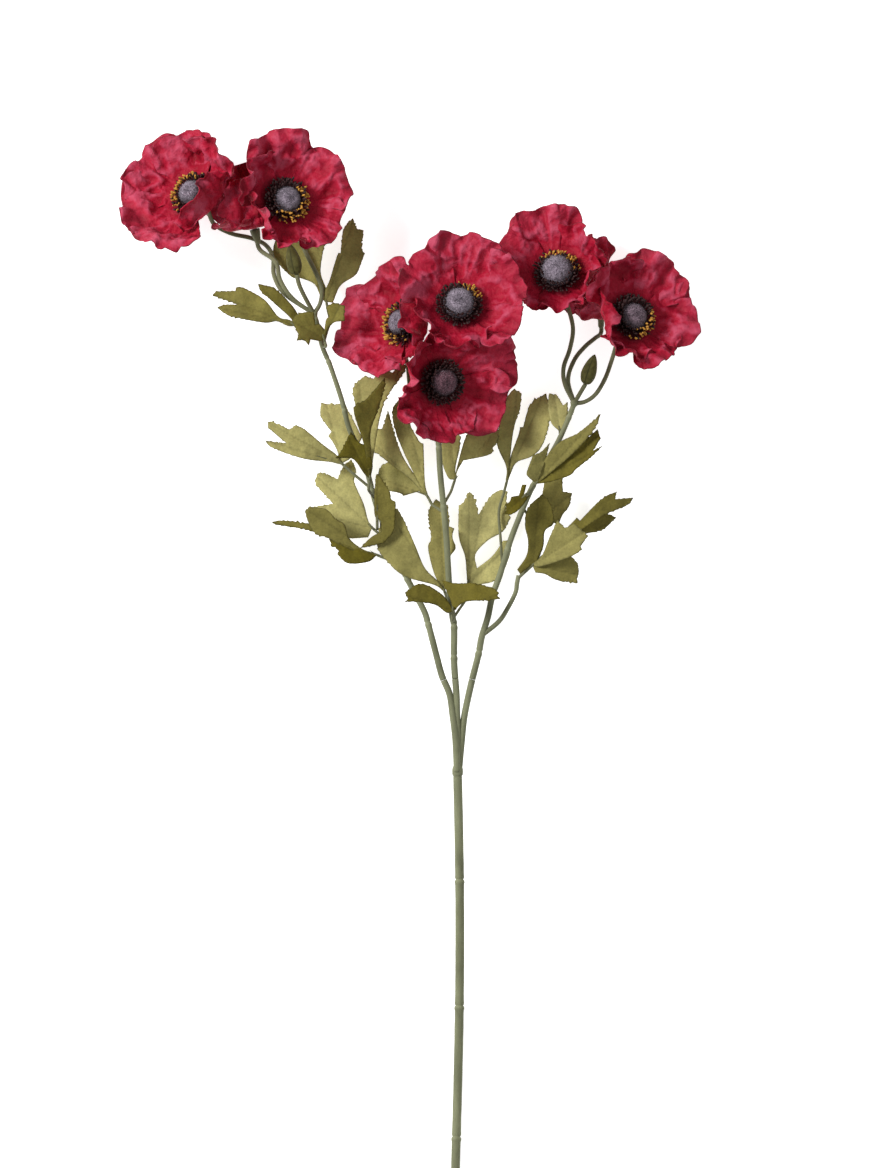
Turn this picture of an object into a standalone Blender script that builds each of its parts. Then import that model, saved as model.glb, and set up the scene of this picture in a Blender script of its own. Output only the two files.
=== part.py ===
"""Fabric poppy spray lying on a table.

One stem carries three branches through a moulded fork. Each branch carries
three ruffled flowers, and two of them a bud; lobed leaves sit on the joints.
The stem runs along +Y on the table plane z = 0, the flowers face up.
Sizes are written in millimetres and scaled once, when a mesh is made.
"""

import math
import random

import bmesh
import bpy
from mathutils import Vector, noise
from mathutils.geometry import delaunay_2d_cdt

MM = 0.001
GAP = 0.3

# Stems
STEM_RADIUS = 2.95
STEM_SIDES = 10
STEM_CUT_Y = -32.0
STEM_FLAT_Y = 32.0
STEM_TOP_Y = 254.0
STEM_RISE = 12.0
STEM_SWAY = 2.8
STEM_SWAY_LENGTH = 300.0
STEM_JOINTS_Y = (18.0, 104.0, 187.0)
NECK_DEPTH = 0.82
BRANCH_SIDES = 6
BRANCH_FOOT_RADIUS = 2.2
FORK_REACH = 61.0
COLLAR_RADIUS = 3.5
COLLAR_LENGTH = 7.0
KNOT_HALF_LENGTH = 2.0
PEDICEL_RADIUS = 1.45
PEDICEL_SIDES = 5
PETIOLE_RADIUS = 0.85
PETIOLE_SIDES = 3
RING_STEP = 22.0
PEDICEL_STEP = 15.0

# Flowers
CALYX_DEPTH = 9.0
CALYX_RADIUS = 4.4
HUB_RADIUS = 5.2
HUB_HEIGHT = 2.4
HUB_SIDES = 7
PETAL_HALF_THICKNESS = 0.36
PETAL_ROWS = 3
PETAL_COLUMNS = 5
LONG_PETAL = 40.0
ROOT_RADIUS = 3.6
LAYER_LIFT = 0.95
BASE_RISE = 5.0
FLAT_MARGIN = 3.2
DISC_HEIGHT = 1.3
DISC_RADIUS = 6.4
STAMEN_COUNT = 11
STAMEN_REACH = 14.2
STAMEN_RISE = 4.4
STAMEN_STAGGER = 1.6
STAMEN_HEAD = (0.8, 0.7)
EYE_RADIUS = 9.2
EYE_HEIGHT = 11.5
EYE_SIDES = 8
BUD_RADIUS = 4.8
BUD_LENGTH = 20.5

# Leaves
LEAF_HALF_THICKNESS = 0.34
LEAF_STUB_RADIUS = 1.15
LEAF_STUB_LENGTH = 3.4
NECK_HALF_WIDTH = 0.8

# Faces closer than this to one plane are merged after a union
FLAT_ANGLE = math.radians(0.4)

# Colours as linear red, green, blue
COLOURS = {
    "stem_green": (0.215, 0.245, 0.13),
    "bud_green": (0.1, 0.095, 0.035),
    "petal_red": (0.46, 0.012, 0.045),
    "stamen_black": (0.022, 0.007, 0.007),
    "eye_grey": (0.2, 0.165, 0.19),
    "leaf_green": (0.24, 0.2, 0.065),
}

# Routes of the branches, from the fork up to the last joint
TRUNKS = {
    "left_branch": {
        "route": [
            (1, 257, 16.5), (0, 278, 17), (-2, 295, 17.5), (-4, 308, 18), (-9, 320, 18.5),
            (-13, 335, 19), (-18, 354, 19), (-21, 363, 19), (-31, 382, 20), (-41, 403, 21),
            (-50, 426, 22), (-54, 439, 23), (-60, 461, 25), (-69, 480, 27), (-74, 499, 28),
            (-81, 520, 30), (-83, 525, 30), (-87, 535, 31), (-90, 549, 33), (-92, 555, 33),
        ],
        "joints": (100.0, 133.0, 195.0, 250.0, 284.0),
        "tip_radius": 1.5,
    },
    "centre_branch": {
        "route": [
            (1.5, 257, 15), (1.5, 278, 15.5), (0.8, 295, 16.5), (0.5, 308, 18), (-1, 329, 19.5),
            (-1, 352, 20.5), (-2, 358, 21), (-4, 375, 23), (-6, 409, 26), (-8, 431, 29),
            (-10, 451, 33), (-11, 469, 37), (-11.5, 475, 38),
        ],
        "joints": (76.0, 96.0, 175.0, 214.0),
        "tip_radius": 1.9,
    },
    "right_branch": {
        "route": [
            (2, 257, 14.5), (4, 278, 14.5), (5.5, 292, 15), (8, 305, 16), (11, 318, 16.5),
            (15, 334, 17), (17, 345, 18), (21, 358, 18), (24, 372, 19), (29, 386, 20),
            (35, 406, 22), (41, 422, 24), (49, 441, 26), (58, 457, 28), (67, 473, 30),
            (74, 489, 32), (77, 497, 33),
        ],
        "joints": (80.0, 150.0, 196.0, 246.0),
        "tip_radius": 1.7,
    },
}
TWIG_ROUTE = [(17, 346, 18), (28, 355, 18), (34, 364, 18), (39, 374, 19), (40, 380, 20), (41, 385, 21)]
TWIG_RADIUS = 1.5

# Flower stalks: branch, flower, points from near the last joint up to just under the calyx
PEDICELS = [
    ("left_branch", "l1", [
        (-111, 568, 33), (-118, 580, 29), (-119, 592, 20), (-124, 601, 9), (-134, 606, 4), (-147, 609, 4),
        (-158, 615, 10)]),
    ("left_branch", "l2", [
        (-88, 562, 33), (-87, 571, 33), (-90, 580, 33), (-96, 592, 33), (-102, 604, 34)]),
    ("left_branch", "l3", [(-106, 565, 35), (-114, 577, 34), (-117, 589, 29)]),
    ("centre_branch", "c1", [
        (-19, 479, 33), (-25, 487, 29), (-29, 501, 26), (-31, 520, 25), (-33, 535, 28)]),
    ("centre_branch", "c2", [(-8, 485, 34), (0, 499, 27), (5, 518, 24), (6, 536, 27), (4, 547, 38)]),
    ("centre_branch", "c3", [(-12, 482, 38), (-13, 492, 38)]),
    ("right_branch", "r1", [(71, 509, 34), (70, 520, 35), (74, 532, 38), (76, 545, 41), (73, 558, 42)]),
    ("right_branch", "r3", [(73, 512, 31), (77, 525, 26), (84, 534, 20), (91, 540, 16)]),
    ("right_branch", "r2", [(84, 498, 33), (91, 503, 33), (97, 513, 33), (101, 524, 34), (104, 534, 35)]),
]
BUDS = [
    ("left_branch", "left_bud", [(-98, 566, 39), (-101.4, 573.3, 41.5), (-103, 580, 43)], (-107, 598, 47)),
    ("right_branch", "right_bud", [(81, 504, 38), (84, 509, 40)], (90, 528, 45)),
]

# Flowers: hub, tilt from straight up and the way it leans (degrees from +X in the picture), and the
# eye's size against the usual.
# Each petal: azimuth, half spread, length, rise at mid length, rise at the rim, cup across, layer.
FLOWERS = {
    "l1": {
        "hub": (-168, 630, 37), "tilt": 37, "toward": 138, "seed": 11, "eye": 0.8,
        "petals": [
            (143, 40, 52, 40, 30, 0.4, 0),
            (96, 38, 47, 50, 40, 0.5, 1),
            (50, 37, 46, 62, 60, 0.5, 0),
            (190, 40, 52, 40, 28, 0.4, 1),
            (240, 38, 54, 44, 36, 0.5, 0),
            (318, 45, 42, 92, 108, 0.7, 1),
        ],
    },
    "l2": {
        "hub": (-111, 626, 50), "tilt": 22, "toward": 40, "seed": 12, "eye": 0.84,
        "petals": [
            (98, 38, 49, 34, 22, 0.4, 0),
            (34, 38, 46, 26, 14, 0.4, 1),
            (328, 37, 41, 24, 22, 0.4, 0),
            (272, 36, 36, 38, 70, 0.7, 1),
            (208, 40, 34, 74, 84, 0.5, 0),
            (152, 37, 42, 56, 62, 0.5, 1),
        ],
    },
    "l3": {
        "hub": (-131, 611, 20), "rests": True, "tilt": 80, "toward": 104, "size": 0.75, "seed": 13,
        "petals": [
            (104, 40, 56, 80, 82, 0.7, 0),
            (236, 30, 34, 30, 22, 0.4, 1),
            (288, 38, 50, 84, 88, 0.7, 0),
            (12, 42, 36, 78, 76, 0.7, 1),
        ],
    },
    "c1": {
        "hub": (-31, 547, 38), "tilt": 44, "toward": 156, "seed": 14, "eye": 0.8,
        "petals": [
            (168, 40, 52, 32, 18, 0.4, 0),
            (102, 40, 45, 40, 32, 0.4, 1),
            (228, 38, 43, 36, 26, 0.4, 1),
            (276, 36, 31, 48, 46, 0.5, 0),
            (0, 42, 42, 94, 112, 0.8, 1),
        ],
    },
    "c2": {
        "hub": (2, 557, 70), "tilt": 22, "toward": 85, "seed": 15,
        "petals": [
            (88, 38, 51, 38, 26, 0.4, 0),
            (138, 38, 46, 40, 28, 0.4, 1),
            (32, 38, 47, 28, 16, 0.4, 1),
            (338, 37, 44, 28, 24, 0.4, 0),
            (274, 38, 37, 40, 72, 0.6, 1),
            (206, 36, 36, 52, 84, 0.9, 0),
        ],
    },
    "c3": {
        "hub": (-11, 511, 44), "tilt": 24, "toward": 345, "seed": 16, "eye": 0.88,
        "petals": [
            (30, 37, 55, 26, 16, 0.3, 0),
            (332, 37, 48, 24, 18, 0.4, 1),
            (280, 37, 40, 36, 46, 0.5, 0),
            (238, 38, 46, 46, 44, 0.5, 1),
            (160, 39, 40, 60, 64, 0.5, 0),
            (84, 36, 38, 54, 52, 0.5, 1),
        ],
    },
    "r1": {
        "hub": (66, 579, 49), "tilt": 22, "toward": 105, "seed": 17, "eye": 1.02,
        "petals": [
            (106, 40, 48, 36, 28, 0.4, 0),
            (160, 40, 44, 34, 24, 0.4, 1),
            (40, 40, 40, 60, 64, 0.4, 1),
            (338, 40, 36, 70, 74, 0.5, 0),
            (276, 42, 29, 36, 44, 0.5, 1),
            (216, 40, 32, 40, 44, 0.5, 0),
        ],
    },
    "r2": {
        "hub": (112, 550, 53), "tilt": 27, "toward": 40, "seed": 18, "eye": 0.84,
        "petals": [
            (64, 38, 49, 34, 22, 0.4, 0),
            (8, 38, 45, 26, 14, 0.4, 1),
            (312, 38, 38, 30, 24, 0.4, 0),
            (256, 38, 34, 46, 58, 0.6, 1),
            (192, 42, 37, 82, 108, 0.7, 0),
            (126, 38, 45, 52, 52, 0.5, 1),
        ],
    },
    "r3": {
        "hub": (95, 556, 20), "rests": True, "tilt": 62, "toward": 90, "size": 0.62, "seed": 19,
        "petals": [
            (106, 16, 60, 66, 80, 0.7, 0),
            (168, 42, 34, 50, 60, 0.7, 1),
            (268, 44, 30, 60, 74, 0.6, 0),
            (8, 44, 36, 58, 66, 0.7, 1),
        ],
    },
}

# Leaves: carrier, how far up it the stalk starts (y), leaf root, then the blades. Each blade: sideways
# roll, tip, further rib ends, then its edge from one side of the root to the other.
LEAVES = {
    "left_leaf_1": ("left_branch", 533, (-84, 562, 17), [
        (8, (-67, 616, 20), [], [
            (-80, 563), (-75, 574), (-65, 581), (-61, 590), (-59, 595), (-61, 598), (-60, 610), (-64, 611),
            (-67, 618), (-73, 611), (-75, 595), (-77, 594), (-82, 578), (-85, 571)]),
        (-10, (-92, 614, 10), [], [
            (-84, 571), (-88, 583), (-86, 598), (-81, 610), (-88, 615), (-102, 612), (-100, 602), (-92, 584),
            (-89, 570)]),
        (-14, (-118, 600, 9), [], [
            (-88, 567), (-92, 575), (-101, 579), (-107, 580), (-118, 592), (-119, 600), (-117, 605),
            (-108, 607), (-99, 598), (-89, 575)])]),
    "left_leaf_2": ("left_branch", 538, (-103, 547, 38), [
        (12, (-155, 559, 32), [(-158, 568)], [
            (-109, 547), (-116, 550), (-124, 549), (-141, 552), (-148, 554), (-155, 559), (-151, 561),
            (-142, 561), (-158, 567), (-156, 570), (-143, 570), (-143, 572), (-138, 572), (-124, 564),
            (-115, 553), (-108, 551)]),
        (20, (-128, 574, 42), [], [
            (-107, 552), (-117, 561), (-119, 563), (-126, 569), (-128, 574), (-117, 571), (-106, 560),
            (-101, 552)])]),
    "left_leaf_3": ("left_branch", 533, (-85, 537, 40), [
        (24, (-105, 549, 47), [], [
            (-83, 542), (-88, 548), (-91, 548), (-92, 556), (-101, 555), (-106, 550), (-102, 541),
            (-103, 537), (-98, 537), (-95, 534), (-94, 538), (-88, 537)]),
        (-10, (-75, 561, 40), [], [
            (-85, 545), (-84, 551), (-82, 553), (-84, 559), (-79, 562), (-72, 560), (-72, 550), (-79, 549),
            (-83, 544)])]),
    "left_leaf_4": ("left_branch", 442, (-73, 457, 25), [
        (10, (-124, 473, 32), [(-121, 484)], [
            (-82, 459), (-99, 461), (-119, 468), (-124, 473), (-110, 471), (-122, 481), (-122, 485),
            (-118, 485), (-108, 480), (-104, 483), (-98, 480), (-86, 470), (-78, 464)]),
        (14, (-85, 498, 8), [], [
            (-77, 466), (-80, 472), (-83, 476), (-81, 479), (-88, 489), (-88, 498), (-80, 497), (-73, 498),
            (-67, 487), (-61, 475), (-67, 463)])]),
    "left_leaf_5": ("left_branch", 436, (-56, 447, 36), [
        (16, (-70, 475, 46), [(-77, 461)], [
            (-60, 452), (-64, 458), (-68, 461), (-78, 461), (-74, 466), (-68, 478), (-62, 471), (-58, 470),
            (-54, 458)]),
        (20, (-47, 511, 50), [], [
            (-59, 468), (-64, 484), (-66, 492), (-64, 496), (-58, 499), (-46, 513), (-46, 507), (-50, 493),
            (-55, 479), (-55, 466)]),
        (-12, (-36, 522, 30), [(-63, 512)], [
            (-61, 478), (-65, 495), (-67, 505), (-65, 510), (-59, 515), (-53, 513), (-50, 520), (-41, 517),
            (-36, 523), (-32, 522), (-34, 516), (-44, 502), (-49, 488), (-53, 465)])]),
    "left_leaf_6": ("left_branch", 388, (-53, 415, 14), [
        (4, (-90, 449, 12), [(-70, 458), (-96, 427)], [
            (-57, 421), (-60, 432), (-66, 446), (-65, 454), (-68, 461), (-73, 457), (-77, 448), (-86, 452),
            (-90, 452), (-92, 447), (-90, 443), (-80, 432), (-92, 430), (-98, 427), (-88, 420), (-73, 410),
            (-57, 410)])]),
    "left_leaf_7": ("left_branch", 386, (-50, 398, 22), [
        (12, (-80, 409, 26), [], [
            (-57, 394), (-70, 393), (-77, 399), (-76, 401), (-81, 406), (-84, 414), (-73, 416), (-68, 407),
            (-57, 400)]),
        (-18, (-97, 428, 30), [], [
            (-66, 399), (-82, 409), (-91, 412), (-96, 420), (-98, 427), (-95, 430), (-84, 428), (-78, 422),
            (-72, 418), (-69, 409), (-60, 402)]),
        (6, (-120, 420, 24), [], [
            (-66, 401), (-84, 410), (-98, 415), (-116, 418), (-120, 420), (-112, 421), (-96, 419), (-78, 414),
            (-62, 403)])]),
    "left_leaf_8": ("left_branch", 430, (-51, 420, 31), [
        (6, (-51, 449, 34), [(-61, 403)], [
            (-53, 428), (-52, 449), (-50, 451), (-43, 440), (-42, 435), (-39, 433), (-39, 428), (-40, 415),
            (-45, 408), (-48, 406), (-56, 404), (-62, 403), (-55, 410), (-48.5, 413.5), (-48.5, 420)])]),
    "centre_leaf_1": ("centre_branch", 357, (-7, 374, 20), [
        (-4, (-43, 424, 25), [], [
            (-14, 379), (-34, 385), (-47, 397), (-51, 404), (-50, 414), (-48, 421), (-42, 427), (-38, 429),
            (-33, 420), (-26, 404), (-20, 390), (-12, 382)]),
        (-6, (-11, 434, 8), [], [
            (-13, 384), (-16, 393), (-18, 404), (-16, 410), (-18, 426), (-13, 435), (-5, 431), (-4, 417),
            (-1, 416), (-2, 410), (0, 403), (-4, 396), (-4, 382)])]),
    "centre_leaf_2": ("centre_branch", 355, (-2, 361, 34), [
        (25, (-32, 372, 41), [], [
            (-6, 361), (-13, 366), (-24, 368), (-33, 368), (-31, 370), (-33, 374), (-26, 379), (-19, 379),
            (-8, 372)]),
        (-25, (28, 373, 42), [], [
            (-3, 368), (-9, 382), (0, 380), (12, 380), (24, 377), (28, 374), (27, 372), (29, 370), (20, 369),
            (6, 368)])]),
    "centre_leaf_3": ("centre_branch", 357, (8, 378, 9), [
        (0, (19, 436, 7), [(9, 438), (36, 406)], [
            (7, 388), (6, 398), (2, 411), (2, 431), (5, 433), (9, 440), (12, 437), (15, 425), (22, 436),
            (29, 441), (34, 440), (33, 430), (36, 423), (31, 414), (21, 408), (13, 399), (14, 390),
            (24, 398), (31, 408), (37, 408), (35, 397), (28, 383), (14, 379)])]),
    "centre_leaf_4": ("centre_branch", 426, (-18, 436, 22), [
        (-12, (-35, 501, 16), [], [
            (-20, 446), (-21, 471), (-24, 473), (-31, 487), (-34, 503), (-41, 494), (-40, 482), (-35, 468),
            (-27, 451)]),
        (8, (-45, 491, 14), [(-57, 475)], [
            (-25, 448), (-35, 464), (-41, 482), (-44, 493), (-48, 481), (-58, 479), (-57, 470), (-44, 459),
            (-31, 449)]),
        (16, (-51, 449, 16), [(-34, 438)], [
            (-27, 447), (-38, 456), (-44, 459), (-49, 456), (-51, 448), (-48, 441), (-37, 439), (-34, 437),
            (-24, 440)])]),
    "centre_leaf_5": ("centre_branch", 430, (-1, 446, 20), [
        (8, (-4, 481, 19), [], [
            (-5, 449), (-9, 460), (-9, 473), (-6, 482), (2, 482), (3, 470), (0, 456)]),
        (-8, (25, 478, 25), [], [
            (1, 453), (5, 460), (20, 463), (25, 466), (24, 468), (28, 474), (26, 488), (14, 488), (6, 474)])]),
    "right_leaf_1": ("right_branch", 390, (33, 445, 14), [
        (8, (40, 505, 16), [], [
            (33, 456), (27, 470), (28, 481), (33, 500), (38, 507), (43, 504), (42, 494), (38, 481), (36, 466),
            (35, 454)]),
        (-12, (56, 501, 13), [], [
            (36, 463), (41, 477), (42, 482), (44, 482), (48, 496), (52, 500), (59, 504), (62, 490), (57, 471),
            (50, 463), (40, 459), (36, 452)])]),
    "right_leaf_2": ("right_branch", 436, (51, 444, 36), [
        (-8, (93, 489, 43), [], [
            (53, 452), (60, 464), (68, 472), (80, 478), (94, 490), (90, 480), (78, 466), (62, 452)]),
        (-12, (93, 476, 40), [(93, 467)], [
            (60, 453), (78, 468), (92, 480), (94, 474), (89, 466), (95, 469), (88, 462), (78, 454), (74, 450),
            (62, 446)]),
        (16, (59, 468, 42), [], [
            (47, 449), (46, 452), (50, 463), (55, 465), (61, 471), (57, 456)])]),
    "right_leaf_3": ("right_branch", 428, (56, 422, 14), [
        (6, (69, 447, 10), [(75, 438)], [
            (55, 430), (58, 446), (70, 450), (70, 440), (76, 439), (74, 430), (70, 425), (67, 418)])]),
    "right_leaf_4": ("twig", 384, (49, 391, 26), [
        (14, (54, 437, 26), [], [
            (42, 386), (40, 389), (46, 398), (47, 408), (45, 418), (47, 429), (56, 438), (61, 433),
            (64, 423), (63, 418), (58, 414), (57, 404), (53, 394)]),
        (-6, (83, 413, 34), [], [
            (56, 398), (61, 410), (66, 421), (71, 416), (77, 419), (86, 411), (81, 404), (82, 402), (74, 397),
            (56, 391)]),
        (4, (79, 386, 22), [], [
            (57, 393), (66, 397), (75, 398), (80, 391), (79, 380), (66, 382), (58, 386), (52, 387)])]),
    "right_leaf_5": ("twig", 383, (66, 403, 14), [
        (0, (115, 435, 16), [], [
            (70, 413), (79, 423), (81, 421), (95, 435), (105, 440), (104, 435), (116, 436), (112, 431),
            (96, 424), (80, 413)]),
        (10, (104, 421, 10), [], [
            (78, 417), (97, 425), (105, 423), (96, 415), (84, 412), (74, 406)])]),
    "right_leaf_6": ("right_branch", 484, (68, 478, 22), [
        (0, (64, 503, 18), [], [
            (62, 485), (60, 496), (61, 504), (66, 503), (70, 496), (73, 498), (73, 488), (71, 481)])]),
    "right_leaf_7": ("right_branch", 446, (46, 438, 36), [
        (22, (33, 427, 43), [], [
            (46, 444), (43, 444), (41, 437), (36, 436), (35, 433), (32, 431), (33, 428), (31, 425),
            (37, 425), (43, 430), (48, 437)])]),
}


def clear_scene():
    """Remove every object, so that only this model is in the file."""
    for old in list(bpy.data.objects):
        bpy.data.objects.remove(old, do_unlink=True)


def material(name):
    """Return the named plain material, making it on first use."""
    found = bpy.data.materials.get(name)
    if found:
        return found
    made = bpy.data.materials.new(name)
    made.use_nodes = True
    shader = made.node_tree.nodes["Principled BSDF"]
    shader.inputs["Base Color"].default_value = (*COLOURS[name], 1.0)
    shader.inputs["Roughness"].default_value = 0.7
    shader.inputs["Metallic"].default_value = 0.0
    return made


def add_object(name, points, faces, colour):
    """Make one named object from points in millimetres."""
    mesh = bpy.data.meshes.new(name)
    mesh.from_pydata([Vector(p) * MM for p in points], [], faces)
    mesh.update()
    made = bpy.data.objects.new(name, mesh)
    bpy.context.collection.objects.link(made)
    mesh.materials.append(material(colour))
    return made


def fuse(name, pieces):
    """Join the pieces into one closed body with a single Boolean union."""
    body = pieces[0]
    others = pieces[1:]
    tools = bpy.data.collections.new(name + "_tools")
    for piece in others:
        bpy.context.collection.objects.unlink(piece)
        tools.objects.link(piece)
    union = body.modifiers.new("union", "BOOLEAN")
    union.operation = "UNION"
    union.operand_type = "COLLECTION"
    union.collection = tools
    for solver in ("EXACT", "MANIFOLD"):
        union.solver = solver
        graph = bpy.context.evaluated_depsgraph_get()
        joined = bpy.data.meshes.new_from_object(body.evaluated_get(graph))
        if keep_largest(joined):
            break
    body.modifiers.clear()
    body.data = joined
    body.name = name
    joined.name = name
    for piece in others:
        bpy.data.objects.remove(piece, do_unlink=True)
    bpy.data.collections.remove(tools)
    return body


def keep_largest(mesh):
    """Drop loose scraps, fill hollows that a union sealed, and tell whether the mesh is closed."""
    shape = bmesh.new()
    shape.from_mesh(mesh)
    waiting = set(shape.verts)
    shells = []
    while waiting:
        shell = []
        edge_of_shell = [waiting.pop()]
        while edge_of_shell:
            corner = edge_of_shell.pop()
            shell.append(corner)
            for edge in corner.link_edges:
                other = edge.other_vert(corner)
                if other in waiting:
                    waiting.remove(other)
                    edge_of_shell.append(other)
        shells.append(shell)
    shells.sort(key=len)
    for shell in shells[:-1]:
        bmesh.ops.delete(shape, geom=shell, context="VERTS")
    bmesh.ops.dissolve_limit(shape, angle_limit=FLAT_ANGLE, verts=shape.verts, edges=shape.edges)
    closed = all(edge.is_manifold for edge in shape.edges)
    shape.to_mesh(mesh)
    shape.free()
    return closed


def smooth_route(points, parts=8):
    """Return a smooth curve through the points."""
    ends = [Vector(p) for p in points]
    padded = [ends[0] * 2 - ends[1]] + ends + [ends[-1] * 2 - ends[-2]]
    curve = []
    for i in range(1, len(padded) - 2):
        before, start, stop, after = padded[i - 1:i + 3]
        for k in range(parts):
            t = k / parts
            bend = (2 * start + (stop - before) * t
                    + (2 * before - 5 * start + 4 * stop - after) * t ** 2
                    + (3 * start - before - 3 * stop + after) * t ** 3)
            curve.append(bend * 0.5)
    curve.append(ends[-1])
    return curve


def route_length(curve):
    """Return the length of a curve in millimetres."""
    return sum((b - a).length for a, b in zip(curve, curve[1:]))


def point_along(curve, distance):
    """Return the point at a distance along a curve, running past its end if asked."""
    left = distance
    for a, b in zip(curve, curve[1:]):
        span = (b - a).length
        if left <= span or b is curve[-1]:
            return a + (b - a) * (left / span)
        left -= span
    return curve[-1]


def tube(name, curve, stations, sides, colour):
    """Sweep a regular polygon along a curve; stations are distance and radius."""
    centres = [point_along(curve, distance) for distance, _ in stations]
    points = []
    faces = []
    up = Vector((0, 0, 1))
    for i, centre in enumerate(centres):
        ahead = centres[min(i + 1, len(centres) - 1)] - centres[max(i - 1, 0)]
        ahead.normalize()
        up = (up - ahead * up.dot(ahead)).normalized()
        side = ahead.cross(up)
        radius = stations[i][1]
        for k in range(sides):
            angle = 2 * math.pi * (k + 0.5) / sides - math.pi / 2
            points.append(centre + (side * math.cos(angle) + up * math.sin(angle)) * radius)
    for i in range(len(centres) - 1):
        for k in range(sides):
            a = i * sides + k
            b = i * sides + (k + 1) % sides
            faces.append((a, b, b + sides, a + sides))
    faces.append(tuple(reversed(range(sides))))
    faces.append(tuple(range((len(centres) - 1) * sides, len(centres) * sides)))
    made = add_object(name, points, faces, colour)
    face_outward(made)
    return made


def face_outward(made):
    """Turn a closed mesh right side out."""
    mesh = made.data
    volume = 0.0
    for face in mesh.polygons:
        corners = [mesh.vertices[i].co for i in face.vertices]
        for b, c in zip(corners[1:], corners[2:]):
            volume += corners[0].dot(b.cross(c))
    if volume < 0:
        mesh.flip_normals()


def stem_stations(start, end, foot, tip, joints=(), step=RING_STEP):
    """Space rings evenly, with a swell and a neck at each joint."""
    def radius(distance):
        return foot + (tip - foot) * (distance - start) / (end - start)
    count = max(1, round((end - start) / step))
    rings = {start + (end - start) * i / count: 1.0 for i in range(count + 1)}
    rings[start + 1.0] = 1.0
    rings[end - 1.0] = 1.0
    for joint in joints:
        rings = {d: k for d, k in rings.items() if abs(d - joint) > 3.5 or d in (start, end)}
        rings[joint - 1.2] = 1.1
        rings[joint] = NECK_DEPTH
        rings[joint + 1.0] = 1.0
    return [(d, radius(d) * rings[d]) for d in sorted(rings)]


def turned(name, base, axis, profile, sides, colour):
    """Turn a profile of radius and height around an axis through base."""
    axis = axis.normalized()
    side = axis.orthogonal().normalized()
    other = axis.cross(side)
    points = []
    faces = []
    for radius, height in profile:
        for k in range(sides):
            angle = 2 * math.pi * k / sides
            out = side * math.cos(angle) + other * math.sin(angle)
            points.append(base + axis * height + out * radius)
    for i in range(len(profile) - 1):
        for k in range(sides):
            a = i * sides + k
            b = i * sides + (k + 1) % sides
            faces.append((a, b, b + sides, a + sides))
    faces.append(tuple(reversed(range(sides))))
    faces.append(tuple(range((len(profile) - 1) * sides, len(profile) * sides)))
    made = add_object(name, points, faces, colour)
    face_outward(made)
    return made


def thicken(grid, half_thickness):
    """Return the points of a grid's upper face and those of its lower face, row by row."""
    rows = len(grid)
    columns = len(grid[0])
    top = []
    under = []
    for i in range(rows):
        for j in range(columns):
            along = grid[min(i + 1, rows - 1)][j] - grid[max(i - 1, 0)][j]
            across = grid[i][min(j + 1, columns - 1)] - grid[i][max(j - 1, 0)]
            normal = across.cross(along).normalized()
            top.append(grid[i][j] + normal * half_thickness)
            under.append(grid[i][j] - normal * half_thickness)
    return top, under


def sheet_solid(name, grid, half_thickness, colour):
    """Close a grid of points into a thin blade, split alike on both faces."""
    rows = len(grid)
    columns = len(grid[0])
    top, under = thicken(grid, half_thickness)
    lower = len(top)
    faces = []
    for i in range(rows - 1):
        for j in range(columns - 1):
            a = i * columns + j
            b = a + 1
            c = b + columns
            d = a + columns
            if (i + j) % 2:
                halves = ((a, b, c), (a, c, d))
            else:
                halves = ((a, b, d), (b, c, d))
            for one, two, three in halves:
                faces.append((one, two, three))
                faces.append((one + lower, three + lower, two + lower))
    rim = [j for j in range(columns)]
    rim += [i * columns + columns - 1 for i in range(1, rows)]
    rim += [(rows - 1) * columns + j for j in range(columns - 2, -1, -1)]
    rim += [i * columns for i in range(rows - 2, 0, -1)]
    for a, b in zip(rim, rim[1:] + rim[:1]):
        faces.append((b, a, a + lower))
        faces.append((b, a + lower, b + lower))
    made = add_object(name, top + under, faces, colour)
    face_outward(made)
    return made


def smoothstep(value):
    """Ease from 0 to 1."""
    value = min(1.0, max(0.0, value))
    return value * value * (3 - 2 * value)


def flower_axes(flower):
    """Return the flower's two side directions and the way it faces."""
    tilt = math.radians(flower["tilt"])
    toward = math.radians(flower["toward"])
    face = Vector((math.sin(tilt) * math.cos(toward), math.sin(tilt) * math.sin(toward), math.cos(tilt)))
    side = Vector((1, 0, 0)) - face * face.x
    side.normalize()
    return side, face.cross(side), face


def petal_profile(length, mid, rim, flat, steps=40):
    """Return run, height and slope along a petal's middle, from its rises in degrees."""
    start = flat / length
    turn = 0.28 * min(1.0, 45.0 / mid)
    run = 0.0
    height = 0.0
    profile = [(run, height, math.radians(BASE_RISE))]
    for i in range(steps):
        part = (i + 0.5) / steps
        rise = BASE_RISE + (mid - BASE_RISE) * smoothstep((part - start) / turn)
        rise += (rim - mid) * smoothstep((part - start - turn) / 0.36)
        slope = math.radians(rise)
        run += length / steps * math.cos(slope)
        height += length / steps * math.sin(slope)
        profile.append((run, height, slope))
    return profile


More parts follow.
